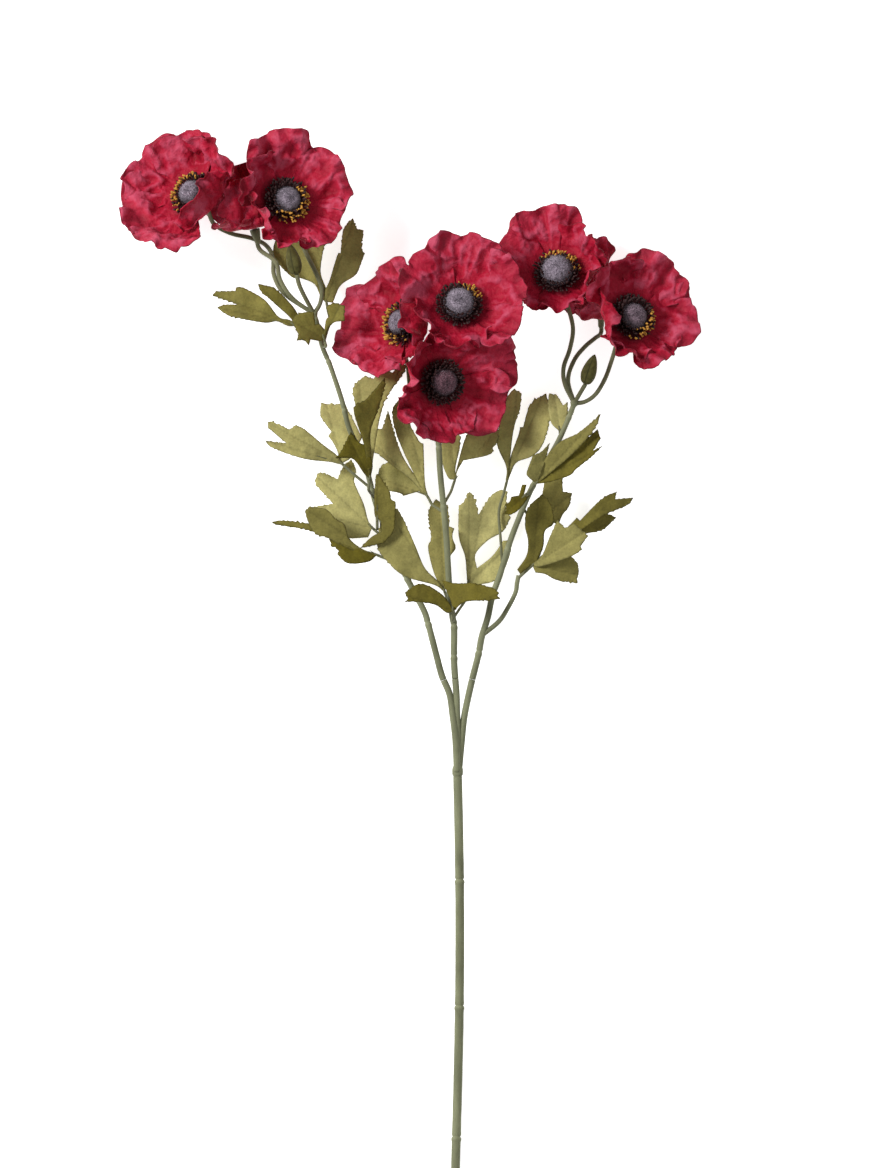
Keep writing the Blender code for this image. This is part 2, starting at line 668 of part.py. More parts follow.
def petal_grid(petal, seed, size, rows, columns):
    """Lay out one ruffled petal in its flower's own axes."""
    azimuth, spread, length, mid, rim, cup, layer = petal
    draw = random.Random(seed)
    phase = draw.uniform(0, 2 * math.pi)
    waves = draw.uniform(1.6, 2.2)
    ruffle = draw.uniform(1.8, 2.8)
    offset = Vector((seed * 3.7, seed * 1.9, seed * 5.3))
    flat = (STAMEN_REACH + FLAT_MARGIN) * size
    root = ROOT_RADIUS * size
    profile = petal_profile(length, mid, rim, flat)
    steps = len(profile) - 1
    turn = math.radians(azimuth)
    spread = math.radians(spread)
    bend = cup / length
    grid = []
    for i in range(rows + 1):
        part = (i / rows) ** 0.85
        row = []
        for j in range(columns + 1):
            across = 2 * j / columns - 1
            fan = across * spread
            edge = length * (1 - 0.2 * abs(across) ** 3.5)
            edge *= 1 + 0.035 * math.sin(phase + across * 5.5) + 0.02 * math.sin(phase * 2 + across * 11)
            out = root + (edge - root) * part
            along = out * math.cos(fan)
            wide = out * math.sin(fan)
            place = min(along / length, 1.0) * steps
            low = min(int(place), steps - 1)
            blend = place - low
            run = profile[low][0] * (1 - blend) + profile[low + 1][0] * blend
            height = profile[low][1] * (1 - blend) + profile[low + 1][1] * blend
            slope = profile[low][2] * (1 - blend) + profile[low + 1][2] * blend
            hollow = (1 - math.cos(bend * wide)) / bend
            narrow = math.sin(bend * wide) / bend
            wave = ruffle * part ** 2.4 * math.sin(math.pi * waves * across + phase)
            spot = Vector((along, wide, 0)) * 0.085 + offset
            wave += 2.6 * smoothstep((out - flat + 3) / 15) * noise.noise(spot)
            lift = hollow + wave
            x = run - math.sin(slope) * lift
            z = height + math.cos(slope) * lift + LAYER_LIFT * layer + 0.6
            row.append(Vector((
                x * math.cos(turn) - narrow * math.sin(turn),
                x * math.sin(turn) + narrow * math.cos(turn),
                z)))
        grid.append(row)
    return grid


def flower_grids(flower):
    """Return the hub and every petal's grid in the model's axes; short petals get fewer columns."""
    side, other, face = flower_axes(flower)
    size = flower.get("size", 1.0)
    local = []
    for k, petal in enumerate(flower["petals"]):
        columns = PETAL_COLUMNS if petal[2] > LONG_PETAL else PETAL_COLUMNS - 1
        local.append(petal_grid(petal, flower["seed"] * 10 + k, size, PETAL_ROWS, columns))
    turned_grids = []
    for grid in local:
        turned_grids.append([[side * p.x + other * p.y + face * p.z for p in row] for row in grid])
    hub = Vector(flower["hub"])
    if flower.get("rests"):
        faces = [face for grid in turned_grids for face in thicken(grid, PETAL_HALF_THICKNESS)]
        hub.z = -min(p.z for face in faces for p in face)
    placed = [[[p + hub for p in row] for row in grid] for grid in turned_grids]
    return hub, placed


def make_flower(key, flower):
    """Make a flower's petals, its stamens and its eye."""
    size = flower.get("size", 1.0)
    axes = flower_axes(flower)
    face = axes[2]
    hub, grids = flower_grids(flower)
    boss = [(HUB_RADIUS * size, 0), (HUB_RADIUS * size, HUB_HEIGHT)]
    pieces = [turned(key + "_hub", hub, face, boss, HUB_SIDES, "petal_red")]
    for k, grid in enumerate(grids):
        pieces.append(sheet_solid(f"{key}_petal_{k}", grid, PETAL_HALF_THICKNESS, "petal_red"))
    fuse(f"flower_{key}_petals", pieces)
    disc = hub + face * (HUB_HEIGHT + GAP)
    make_stamens(key, disc, axes, size)
    shape = ((0.4, 0.0), (0.82, 0.08), (0.98, 0.34), (0.88, 0.66), (0.5, 0.93), (0.15, 1.0))
    eye = size * flower.get("eye", 1.0)
    profile = [(r * EYE_RADIUS * eye, h * EYE_HEIGHT * eye) for r, h in shape]
    foot = disc + face * (DISC_HEIGHT + GAP)
    turned(f"flower_{key}_eye", foot, face, profile, EYE_SIDES, "eye_grey")


def make_stamens(key, foot, axes, size):
    """Make a disc whose rim grows a ring of club-ended stamens."""
    side, other, face = axes
    corners = 2 * STAMEN_COUNT
    points = []
    for level in (0.0, DISC_HEIGHT):
        for k in range(corners):
            angle = 2 * math.pi * k / corners
            out = side * math.cos(angle) + other * math.sin(angle)
            points.append(foot + face * level + out * DISC_RADIUS * size)
    faces = [tuple(reversed(range(corners))), tuple(range(corners, 2 * corners))]
    for k in range(corners):
        a = k
        b = (k + 1) % corners
        c = b + corners
        d = a + corners
        if k % 2:
            faces.append((a, b, c, d))
            continue
        angle = 2 * math.pi * (k + 0.5) / corners
        out = side * math.cos(angle) + other * math.sin(angle)
        cross = face.cross(out)
        stagger = 0.0 if k % 4 else STAMEN_STAGGER
        head = foot + out * (STAMEN_REACH - stagger) * size + face * (STAMEN_RISE + stagger) * size
        first = len(points)
        for wide, high in ((-1, -1), (1, -1), (1, 1), (-1, 1)):
            points.append(head + (cross * STAMEN_HEAD[0] * wide + face * STAMEN_HEAD[1] * high) * size)
        ring = (a, b, c, d)
        for one, two in ((0, 1), (1, 2), (2, 3), (3, 0)):
            faces.append((ring[one], ring[two], first + two, first + one))
        faces.append((first, first + 1, first + 2, first + 3))
    made = add_object(f"flower_{key}_stamens", points, faces, "stamen_black")
    face_outward(made)
    return made


def inside(point, outline):
    """Tell whether a point lies inside an outline."""
    crossings = False
    for a, b in zip(outline, outline[1:] + outline[:1]):
        if (a.y > point.y) != (b.y > point.y):
            if point.x < (b.x - a.x) * (point.y - a.y) / (b.y - a.y) + a.x:
                crossings = not crossings
    return crossings


def blade_solid(name, root, heading, spec, seed):
    """Make one blade of a leaf as a thin, arched sheet with a cut edge, split alike on both faces."""
    roll, tip, ribs, drawn = spec
    draw = random.Random(seed)
    rise = root + heading * (GAP + LEAF_STUB_LENGTH * 0.4)
    neck = rise.to_2d()
    tips = [Vector(tip[:2])] + [Vector(rib) for rib in ribs]
    along = (tips[0] - neck).normalized()
    length = (tips[0] - neck).length
    slope = (tip[2] - rise.z) / length
    side_slope = math.tan(math.radians(roll))
    arch = length * draw.uniform(0.04, 0.08)
    fold = draw.uniform(0.1, 0.22)
    across = Vector((-along.y, along.x)) * NECK_HALF_WIDTH
    if (Vector(drawn[0]) - Vector(drawn[-1])).dot(across) < 0:
        across.negate()
    outline = [neck + across] + [Vector(spot) for spot in drawn] + [neck - across]
    if sum(a.cross(b) for a, b in zip(outline, outline[1:] + outline[:1])) < 0:
        outline.reverse()

    def height(spot):
        step = spot - neck
        u = step.dot(along)
        off = []
        for end in tips:
            rib = (end - neck).normalized()
            off.append((step - rib * max(step.dot(rib), 0.0)).length)
        lift = arch * math.sin(math.pi * min(max(u / length, 0.0), 1.0))
        return rise.z + slope * u + side_slope * along.cross(step) + lift + min(off) * fold

    inner = [neck + (end - neck) * part for end in tips for part in (0.35, 0.7)]
    inner = [spot for spot in inner if inside(spot, outline)]
    count = len(outline)
    rim = [(i, (i + 1) % count) for i in range(count)]
    spots, _, triangles, _, _, _ = delaunay_2d_cdt(outline + inner, rim, [], 1, 1e-6)
    lean = Vector((side_slope * along.y - slope * along.x, -side_slope * along.x - slope * along.y, 1))
    up = lean.normalized()
    middle = [Vector((spot.x, spot.y, height(spot))) for spot in spots]
    points = [spot + up * LEAF_HALF_THICKNESS for spot in middle]
    points += [spot - up * LEAF_HALF_THICKNESS for spot in middle]
    lower = len(spots)
    faces = []
    for a, b, c in triangles:
        faces.append((a, b, c))
        faces.append((a + lower, c + lower, b + lower))
    for a, b in rim:
        faces.append((b, a, a + lower))
        faces.append((b, a + lower, b + lower))
    made = add_object(name, points, faces, "leaf_green")
    face_outward(made)
    return made


def petiole_curve(carrier, joint_y, root, blades):
    """Return the leaf stalk's curve, which turns from its carrier to the leaf."""
    joint = min(carrier, key=lambda spot: abs(spot.y - joint_y))
    root = Vector(root)
    middle = sum((Vector(blade[1]) for blade in blades), Vector()) / len(blades)
    heading = (middle - root).normalized()
    reach = (root - joint).length
    bend = root - heading * (0.35 * reach)
    return smooth_route([joint, (joint + bend) * 0.5, bend, root - heading * (0.12 * reach), root]), heading


def make_leaf(name, spec, number, carriers):
    """Make one leaf: a short stub with its blades sunk into it."""
    carrier, joint_y, root, blades = spec
    root = Vector(root)
    _, heading = petiole_curve(carriers[carrier], joint_y, root, blades)
    start = root + heading * GAP
    profile = [(LEAF_STUB_RADIUS, 0), (LEAF_STUB_RADIUS * 0.8, LEAF_STUB_LENGTH)]
    pieces = [turned(name + "_stub", start, heading, profile, 5, "leaf_green")]
    for k, blade in enumerate(blades):
        pieces.append(blade_solid(f"{name}_blade_{k}", root, heading, blade, number * 10 + k))
    return fuse(name, pieces)


def make_petiole(name, spec, carrier):
    """Make the stalk that carries a leaf, to be fused into its branch."""
    _, joint_y, root, blades = spec
    curve, _ = petiole_curve(carrier, joint_y, root, blades)
    stations = stem_stations(0.0, route_length(curve), PETIOLE_RADIUS * 1.1, PETIOLE_RADIUS, step=12.0)
    return tube(name + "_stalk", curve, stations, PETIOLE_SIDES, "stem_green")


def make_pedicel(key, start, points):
    """Make a flower's stalk and calyx, to be fused into its branch."""
    flower = FLOWERS[key]
    hub, _ = flower_grids(flower)
    _, _, face = flower_axes(flower)
    foot = hub - face * (CALYX_DEPTH + 5)
    curve = smooth_route([start] + points + [foot, hub - face * (CALYX_DEPTH * 0.6)])
    stations = stem_stations(0.0, route_length(curve), PEDICEL_RADIUS, PEDICEL_RADIUS, step=PEDICEL_STEP)
    stalk = tube(key + "_stalk", curve, stations, PEDICEL_SIDES, "stem_green")
    wide = CALYX_RADIUS * flower.get("size", 1.0)
    profile = [(1.5, 0), (wide * 0.8, CALYX_DEPTH * 0.45), (wide, CALYX_DEPTH - GAP)]
    calyx = turned(key + "_calyx", hub - face * CALYX_DEPTH, face, profile, 8, "stem_green")
    return [stalk, calyx]


def make_bud(name, start, points, tip):
    """Make a bud and return its stalk, to be fused into its branch."""
    top = Vector(points[-1])
    heading = (Vector(tip) - top).normalized()
    curve = smooth_route([start] + points)
    stations = stem_stations(0.0, route_length(curve), PEDICEL_RADIUS, PEDICEL_RADIUS * 0.95, step=7.0)
    stalk = tube(name + "_stalk", curve, stations, PEDICEL_SIDES, "stem_green")
    shape = ((0.3, 0.0), (0.72, 0.08), (1.0, 0.28), (0.96, 0.5), (0.66, 0.76), (0.3, 0.93), (0.08, 1.0))
    profile = [(r * BUD_RADIUS, h * BUD_LENGTH) for r, h in shape]
    turned(name, top + heading * GAP, heading, profile, 8, "bud_green")
    return stalk


def make_main_stem():
    """Make the segmented main stem, flat where it lies on the table."""
    apothem = STEM_RADIUS * math.cos(math.pi / STEM_SIDES)
    curve = []
    for i in range(61):
        y = STEM_CUT_Y + (STEM_TOP_Y - STEM_CUT_Y) * i / 60
        sway = STEM_SWAY * math.sin(math.pi * max(y, 0) / STEM_SWAY_LENGTH)
        rise = STEM_RISE * smoothstep((y - STEM_FLAT_Y) / (STEM_TOP_Y - STEM_FLAT_Y))
        curve.append(Vector((sway, y, apothem + rise)))
    stations = [(0.0, STEM_RADIUS)]
    marks = [y - STEM_CUT_Y for y in STEM_JOINTS_Y]
    length = route_length(curve)
    distance = RING_STEP
    while distance < length - 3:
        if all(abs(distance - mark) > 4 for mark in marks):
            stations.append((distance, STEM_RADIUS))
        distance += RING_STEP
    for mark in marks:
        swell = 1.0 if mark == marks[0] else 1.05
        stations += [(mark - 2.4, STEM_RADIUS), (mark - 0.7, STEM_RADIUS * swell),
                     (mark, STEM_RADIUS * NECK_DEPTH), (mark + 1.1, STEM_RADIUS)]
    stations.append((length - GAP, STEM_RADIUS))
    tube("main_stem", curve, sorted(stations), STEM_SIDES, "stem_green")


def make_fork(curves):
    """Make the moulded fork that holds the three branches' feet."""
    pieces = []
    for name, curve in curves.items():
        stations = stem_stations(0.0, FORK_REACH, BRANCH_FOOT_RADIUS + 0.1, BRANCH_FOOT_RADIUS)
        pieces.append(tube(name + "_arm", curve, stations, BRANCH_SIDES, "stem_green"))
    foot = Vector((STEM_SWAY * math.sin(math.pi * STEM_TOP_Y / STEM_SWAY_LENGTH), STEM_TOP_Y + GAP,
                   STEM_RADIUS * math.cos(math.pi / STEM_SIDES) + STEM_RISE))
    profile = [(STEM_RADIUS, 0), (COLLAR_RADIUS, 1.5), (COLLAR_RADIUS, COLLAR_LENGTH - 2),
               (COLLAR_RADIUS * 0.8, COLLAR_LENGTH)]
    pieces.insert(0, turned("collar", foot, Vector((0, 1, 0)), profile, STEM_SIDES, "stem_green"))
    fuse("stem_fork", pieces)


def make_branch(name, trunk, carriers):
    """Make a branch with its flower stalks, calyxes, bud stalk and leaf stalks."""
    curve = carriers[name]
    length = route_length(curve)
    tip = trunk["tip_radius"]
    stations = stem_stations(FORK_REACH + GAP, length, BRANCH_FOOT_RADIUS, tip, trunk["joints"])
    pieces = [tube(name, curve, stations, BRANCH_SIDES, "stem_green")]
    knot = [(tip * 1.2, -KNOT_HALF_LENGTH), (tip * 1.7, 0), (tip * 1.2, KNOT_HALF_LENGTH)]
    end = curve[-1]
    pieces.append(turned(name + "_knot", end, curve[-1] - curve[-3], knot, 8, "stem_green"))
    owned = [name]
    if name == "right_branch":
        owned.append("twig")
        reach = route_length(carriers["twig"])
        stations = stem_stations(0.0, reach, TWIG_RADIUS * 1.1, TWIG_RADIUS, (reach - 8.0,))
        pieces.append(tube("twig", carriers["twig"], stations, PEDICEL_SIDES, "stem_green"))
    for owner, key, points in PEDICELS:
        if owner == name:
            pieces += make_pedicel(key, end, points)
    for owner, bud, points, tip in BUDS:
        if owner == name:
            pieces.append(make_bud(bud, end, points, tip))
    for leaf, spec in LEAVES.items():
        if spec[0] in owned:
            pieces.append(make_petiole(leaf, spec, carriers[spec[0]]))
    fuse(name, pieces)


def main():
    """Build the whole spray."""
    clear_scene()
    make_main_stem()
    carriers = {name: smooth_route(trunk["route"]) for name, trunk in TRUNKS.items()}
    make_fork(carriers)
    carriers["twig"] = smooth_route(TWIG_ROUTE)
    for name, trunk in TRUNKS.items():
        make_branch(name, trunk, carriers)
    for key, flower in FLOWERS.items():
        make_flower(key, flower)
    for number, (name, spec) in enumerate(LEAVES.items()):
        make_leaf(name, spec, number, carriers)


main()
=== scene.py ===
"""Fabric poppy spray lying on a white table: the finish of every piece.

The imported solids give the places. Each one is replaced here by a finer piece of
the same size: crimped cloth petals, flocked eyes, thread stamens, cut cloth
leaves, waxy buds and plastic-coated stems. Tables and routes are in millimetres.
"""

import math
import random

import bpy
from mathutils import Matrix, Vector, noise
from mathutils.geometry import delaunay_2d_cdt
from mathutils.kdtree import KDTree


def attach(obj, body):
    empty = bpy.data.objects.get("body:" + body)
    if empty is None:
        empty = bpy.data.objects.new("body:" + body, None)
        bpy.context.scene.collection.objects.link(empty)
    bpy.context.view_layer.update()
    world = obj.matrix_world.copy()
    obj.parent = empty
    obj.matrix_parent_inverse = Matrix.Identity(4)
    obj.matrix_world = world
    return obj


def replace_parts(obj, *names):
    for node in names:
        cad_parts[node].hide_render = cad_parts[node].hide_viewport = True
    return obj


bl_info = {
    "name": "Poppy spray",
    "version": (1, 0, 0),
    "blender": (4, 5, 0),
    "location": "View3D > Sidebar > Poppy",
    "description": "Builds an artificial poppy spray with cloth petals and leaves",
    "category": "Object",
}

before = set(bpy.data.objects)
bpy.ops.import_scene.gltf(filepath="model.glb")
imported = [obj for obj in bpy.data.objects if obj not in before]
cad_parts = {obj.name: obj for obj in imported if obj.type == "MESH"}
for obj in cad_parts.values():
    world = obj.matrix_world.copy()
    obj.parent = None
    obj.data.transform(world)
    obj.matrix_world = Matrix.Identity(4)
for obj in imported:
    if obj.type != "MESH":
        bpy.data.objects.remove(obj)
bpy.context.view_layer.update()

MM = 0.001
BODY = "root"

# Main stem
STEM_RADIUS = 2.95
STEM_SIDES = 28
STEM_STEPS = 120
STEM_CUT_Y = -32.0
STEM_FLAT_Y = 32.0
STEM_TOP_Y = 254.0
STEM_RISE = 12.0
STEM_SWAY = 2.8
STEM_SWAY_LENGTH = 300.0
STEM_JOINTS_Y = (18.0, 104.0, 187.0)
FLAT_APOTHEM = STEM_RADIUS * math.cos(math.pi / 10)

# Branches and stalks
BRANCH_FOOT_RADIUS = 2.2
BRANCH_SIDES = 18
FORK_REACH = 61.0
FORK_STEPS = 40
COLLAR_RADIUS = 3.5
COLLAR_LENGTH = 7.0
COLLAR_SIDES = 32
KNOT_SIDES = 20
PEDICEL_RADIUS = 1.45
PEDICEL_SIDES = 12
PETIOLE_RADIUS = 0.85
PETIOLE_SIDES = 9
TWIG_RADIUS = 1.5
TWIG_SIDES = 14
TUBE_STEP = 1.6
JOINT_STEP = 1.0
# Each joint swells below, necks in and swells a little above: strength, place and reach of each
JOINT_SHAPE = ((0.13, -1.6, 1.3), (-0.2, 0.0, 0.55), (0.05, 1.6, 1.5))
JOINT_MARK_REACH = 0.8
GAP = 0.3

# Flowers
CALYX_DEPTH = 9.0
CALYX_RADIUS = 4.4
CALYX_SIDES = 30
CALYX_LOBES = 5
HUB_RADIUS = 5.2
HUB_HEIGHT = 2.4
HUB_SIDES = 32
ROOT_RADIUS = 3.6
# Degrees added to each half of a petal, so that the cloth petals overlap without slits
PETAL_LAP = 1.8
LAYER_LIFT = 0.95
BASE_RISE = 5.0
FLAT_MARGIN = 3.2
CAD_HALF_THICKNESS = 0.36
CAD_ROWS = 3
CAD_COLUMNS = 5
LONG_PETAL = 40.0
DISC_HEIGHT = 1.3
DISC_RADIUS = 6.4
DISC_SIDES = 40
STAMEN_REACH = 14.2
STAMEN_RISE = 4.4
THREAD_RADIUS = 0.3
THREAD_STEPS = 3
THREAD_SIDES = 5
HEAD_SIDES = 7
HEART_RADIUS = 10.0
EYE_RADIUS = 9.8
EYE_HEIGHT = 11.5
EYE_OUTLINE = ((0.4, 0.0), (0.8, 0.08), (0.98, 0.3), (0.95, 0.54), (0.76, 0.8), (0.42, 0.96), (0.0, 1.0))
EYE_SIDES = 96
EYE_LOBES = 12
FIBRES = 2200
BUD_RADIUS = 4.8
BUD_LENGTH = 20.5
BUD_OUTLINE = ((0.3, 0.0), (0.72, 0.08), (1.0, 0.28), (0.96, 0.5), (0.66, 0.76), (0.3, 0.93), (0.04, 1.0))
BUD_SIDES = 48
BUD_LOBES = 3
PETAL_ROWS = 40
PETAL_COLUMNS = 52
RUFFLE_PITCH = 14.0
# Folds and dimples pressed in the petals: how many to a millimetre along and across
FOLDS = (0.058, 0.068)
DIMPLES = (0.12, 0.15)

# Leaves
LEAF_STUB_LENGTH = 3.4
LEAF_MESH_STEP = 1.35
EDGE_STEP = 0.65
TOOTH_PITCH = 3.3
VEIN_PITCH = 6.5
VEIN_SLANT = 1.35
VEIN_HALF_WIDTH = 0.55
MIDRIB_HALF_WIDTH = 0.75
MIDRIB_RADIUS = 0.62
NECK_HALF_WIDTH = 0.8
SHARP_TURN = 48.0

# Camera: straight above the spray, as the photograph was taken
CAMERA_X = -11.5
CAMERA_Y = 379.6
CAMERA_Z = 4000.0
SENSOR_HEIGHT = 24.0
VIEW_HEIGHT = 759.2
VIEW_DISTANCE = 3970.0

# Stage: its lengths are in metres, and a light has its place, its side and its power in watts
KEY_LIGHT = ((-1.7, 1.25, 1.6), 0.8, 62.0)
FILL_LIGHT = ((0.9, 0.0, 2.2), 1.8, 14.0)
STUDIO_BRIGHTNESS = 0.22
TABLE_REACH = 6.0
TABLE_DROP = 0.0005
TABLE_GREY = 0.85
TABLE_GLOW = 0.75
FAR_CLIP = 50.0

# Branches: route, joints as distances along it, and the radius at its tip
TRUNKS = {
    "left_branch": {
        "route": [
            (1, 257, 16.5), (0, 278, 17), (-2, 295, 17.5), (-4, 308, 18), (-9, 320, 18.5),
            (-13, 335, 19), (-18, 354, 19), (-21, 363, 19), (-31, 382, 20), (-41, 403, 21),
            (-50, 426, 22), (-54, 439, 23), (-60, 461, 25), (-69, 480, 27), (-74, 499, 28),
            (-81, 520, 30), (-83, 525, 30), (-87, 535, 31), (-90, 549, 33), (-92, 555, 33),
        ],
        "joints": (100.0, 133.0, 195.0, 250.0, 284.0),
        "tip_radius": 1.5,
    },
    "centre_branch": {
        "route": [
            (1.5, 257, 15), (1.5, 278, 15.5), (0.8, 295, 16.5), (0.5, 308, 18), (-1, 329, 19.5),
            (-1, 352, 20.5), (-2, 358, 21), (-4, 375, 23), (-6, 409, 26), (-8, 431, 29),
            (-10, 451, 33), (-11, 469, 37), (-11.5, 475, 38),
        ],
        "joints": (76.0, 96.0, 175.0, 214.0),
        "tip_radius": 1.9,
    },
    "right_branch": {
        "route": [
            (2, 257, 14.5), (4, 278, 14.5), (5.5, 292, 15), (8, 305, 16), (11, 318, 16.5),
            (15, 334, 17), (17, 345, 18), (21, 358, 18), (24, 372, 19), (29, 386, 20),
            (35, 406, 22), (41, 422, 24), (49, 441, 26), (58, 457, 28), (67, 473, 30),
            (74, 489, 32), (77, 497, 33),
        ],
        "joints": (80.0, 150.0, 196.0, 246.0),
        "tip_radius": 1.7,
    },
}
TWIG_ROUTE = [(17, 346, 18), (28, 355, 18), (34, 364, 18), (39, 374, 19), (40, 380, 20), (41, 385, 21)]

# Flower stalks: branch, flower, points from the last joint up to just under the calyx
PEDICELS = [
    ("left_branch", "l1", [
        (-111, 568, 33), (-118, 580, 29), (-119, 592, 20), (-124, 601, 9), (-134, 606, 4), (-147, 609, 4),
        (-158, 615, 10)]),
    ("left_branch", "l2", [
        (-88, 562, 33), (-87, 571, 33), (-90, 580, 33), (-96, 592, 33), (-102, 604, 34)]),
    ("left_branch", "l3", [(-106, 565, 35), (-114, 577, 34), (-117, 589, 29)]),
    ("centre_branch", "c1", [
        (-19, 479, 33), (-25, 487, 29), (-29, 501, 26), (-31, 520, 25), (-33, 535, 28)]),
    ("centre_branch", "c2", [(-8, 485, 34), (0, 499, 27), (5, 518, 24), (6, 536, 27), (4, 547, 38)]),
    ("centre_branch", "c3", [(-12, 482, 38), (-13, 492, 38)]),
    ("right_branch", "r1", [(71, 509, 34), (70, 520, 35), (74, 532, 38), (76, 545, 41), (73, 558, 42)]),
    ("right_branch", "r3", [(73, 512, 31), (77, 525, 26), (84, 534, 20), (91, 540, 16)]),
    ("right_branch", "r2", [(84, 498, 33), (91, 503, 33), (97, 513, 33), (101, 524, 34), (104, 534, 35)]),
]
BUDS = [
    ("left_branch", "left_bud", [(-98, 566, 39), (-101.4, 573.3, 41.5), (-103, 580, 43)], (-107, 598, 47)),
    ("right_branch", "right_bud", [(81, 504, 38), (84, 509, 40)], (90, 528, 45)),
]

# Flowers: hub, tilt from straight up and the way it leans (degrees from +X in the picture), the seed of
# its creases and threads, where the golden stamens are (middle of the arc and half its width, from +X),
# the eye's size against the usual and how far its flock is stained red. A flower that rests has its hub
# let down to the table, and its size is against the usual too.
# Each petal: azimuth, half spread, length, rise at mid length, rise at the rim, cup across, layer.
FLOWERS = {
    "l1": {
        "hub": (-168, 630, 37), "tilt": 37, "toward": 138, "seed": 11, "gold": (150, 100), "eye": 0.8,
        "petals": [
            (143, 40, 52, 40, 30, 0.4, 0),
            (96, 38, 47, 50, 40, 0.5, 1),
            (50, 37, 46, 62, 60, 0.5, 0),
            (190, 40, 52, 40, 28, 0.4, 1),
            (240, 38, 54, 44, 36, 0.5, 0),
            (318, 45, 42, 92, 108, 0.7, 1),
        ],
    },
    "l2": {
        "hub": (-111, 626, 50), "tilt": 22, "toward": 40, "seed": 12, "gold": (320, 95), "eye": 0.84,
        "petals": [
            (98, 38, 49, 34, 22, 0.4, 0),
            (34, 38, 46, 26, 14, 0.4, 1),
            (328, 37, 41, 24, 22, 0.4, 0),
            (272, 36, 36, 38, 70, 0.7, 1),
            (208, 40, 34, 74, 84, 0.5, 0),
            (152, 37, 42, 56, 62, 0.5, 1),
        ],
    },
    "l3": {
        "hub": (-131, 611, 20), "rests": True, "tilt": 80, "toward": 104, "size": 0.75, "seed": 13,
        "gold": (90, 60),
        "petals": [
            (104, 40, 56, 80, 82, 0.7, 0),
            (236, 30, 34, 30, 22, 0.4, 1),
            (288, 38, 50, 84, 88, 0.7, 0),
            (12, 42, 36, 78, 76, 0.7, 1),
        ],
    },
    "c1": {
        "hub": (-31, 547, 38), "tilt": 44, "toward": 156, "seed": 14, "gold": (180, 110), "eye": 0.8,
        "petals": [
            (168, 40, 52, 32, 18, 0.4, 0),
            (102, 40, 45, 40, 32, 0.4, 1),
            (228, 38, 43, 36, 26, 0.4, 1),
            (276, 36, 31, 48, 46, 0.5, 0),
            (0, 42, 42, 94, 112, 0.8, 1),
        ],
    },
    "c2": {
        "hub": (2, 557, 70), "tilt": 22, "toward": 85, "seed": 15, "gold": (48, 36),
        "petals": [
            (88, 38, 51, 38, 26, 0.4, 0),
            (138, 38, 46, 40, 28, 0.4, 1),
            (32, 38, 47, 28, 16, 0.4, 1),
            (338, 37, 44, 28, 24, 0.4, 0),
            (274, 38, 37, 40, 72, 0.6, 1),
            (206, 36, 36, 52, 84, 0.9, 0),
        ],
    },
    "c3": {
        "hub": (-11, 511, 44), "tilt": 24, "toward": 345, "seed": 16, "gold": (150, 0), "eye": 0.88,
        "eye_shade": 0.75,
        "petals": [
            (30, 37, 55, 26, 16, 0.3, 0),
            (332, 37, 48, 24, 18, 0.4, 1),
            (280, 37, 40, 36, 46, 0.5, 0),
            (238, 38, 46, 46, 44, 0.5, 1),
            (160, 39, 40, 60, 64, 0.5, 0),
            (84, 36, 38, 54, 52, 0.5, 1),
        ],
    },
    "r1": {
        "hub": (66, 579, 49), "tilt": 22, "toward": 105, "seed": 17, "gold": (75, 65), "eye": 1.02,
        "petals": [
            (106, 40, 48, 36, 28, 0.4, 0),
            (160, 40, 44, 34, 24, 0.4, 1),
            (40, 40, 40, 60, 64, 0.4, 1),
            (338, 40, 36, 70, 74, 0.5, 0),
            (276, 42, 29, 36, 44, 0.5, 1),
            (216, 40, 32, 40, 44, 0.5, 0),
        ],
    },
    "r2": {
        "hub": (112, 550, 53), "tilt": 27, "toward": 40, "seed": 18, "gold": (325, 60), "eye": 0.84,
        "eye_shade": 0.35,
        "petals": [
            (64, 38, 49, 34, 22, 0.4, 0),
            (8, 38, 45, 26, 14, 0.4, 1),
            (312, 38, 38, 30, 24, 0.4, 0),
            (256, 38, 34, 46, 58, 0.6, 1),
            (192, 42, 37, 82, 108, 0.7, 0),
            (126, 38, 45, 52, 52, 0.5, 1),
        ],
    },
    "r3": {
        "hub": (95, 556, 20), "rests": True, "tilt": 62, "toward": 90, "size": 0.62, "seed": 19,
        "gold": (90, 60),
        "petals": [
            (106, 16, 60, 66, 80, 0.7, 0),
            (168, 42, 34, 50, 60, 0.7, 1),
            (268, 44, 30, 60, 74, 0.6, 0),
            (8, 44, 36, 58, 66, 0.7, 1),
        ],
    },
}

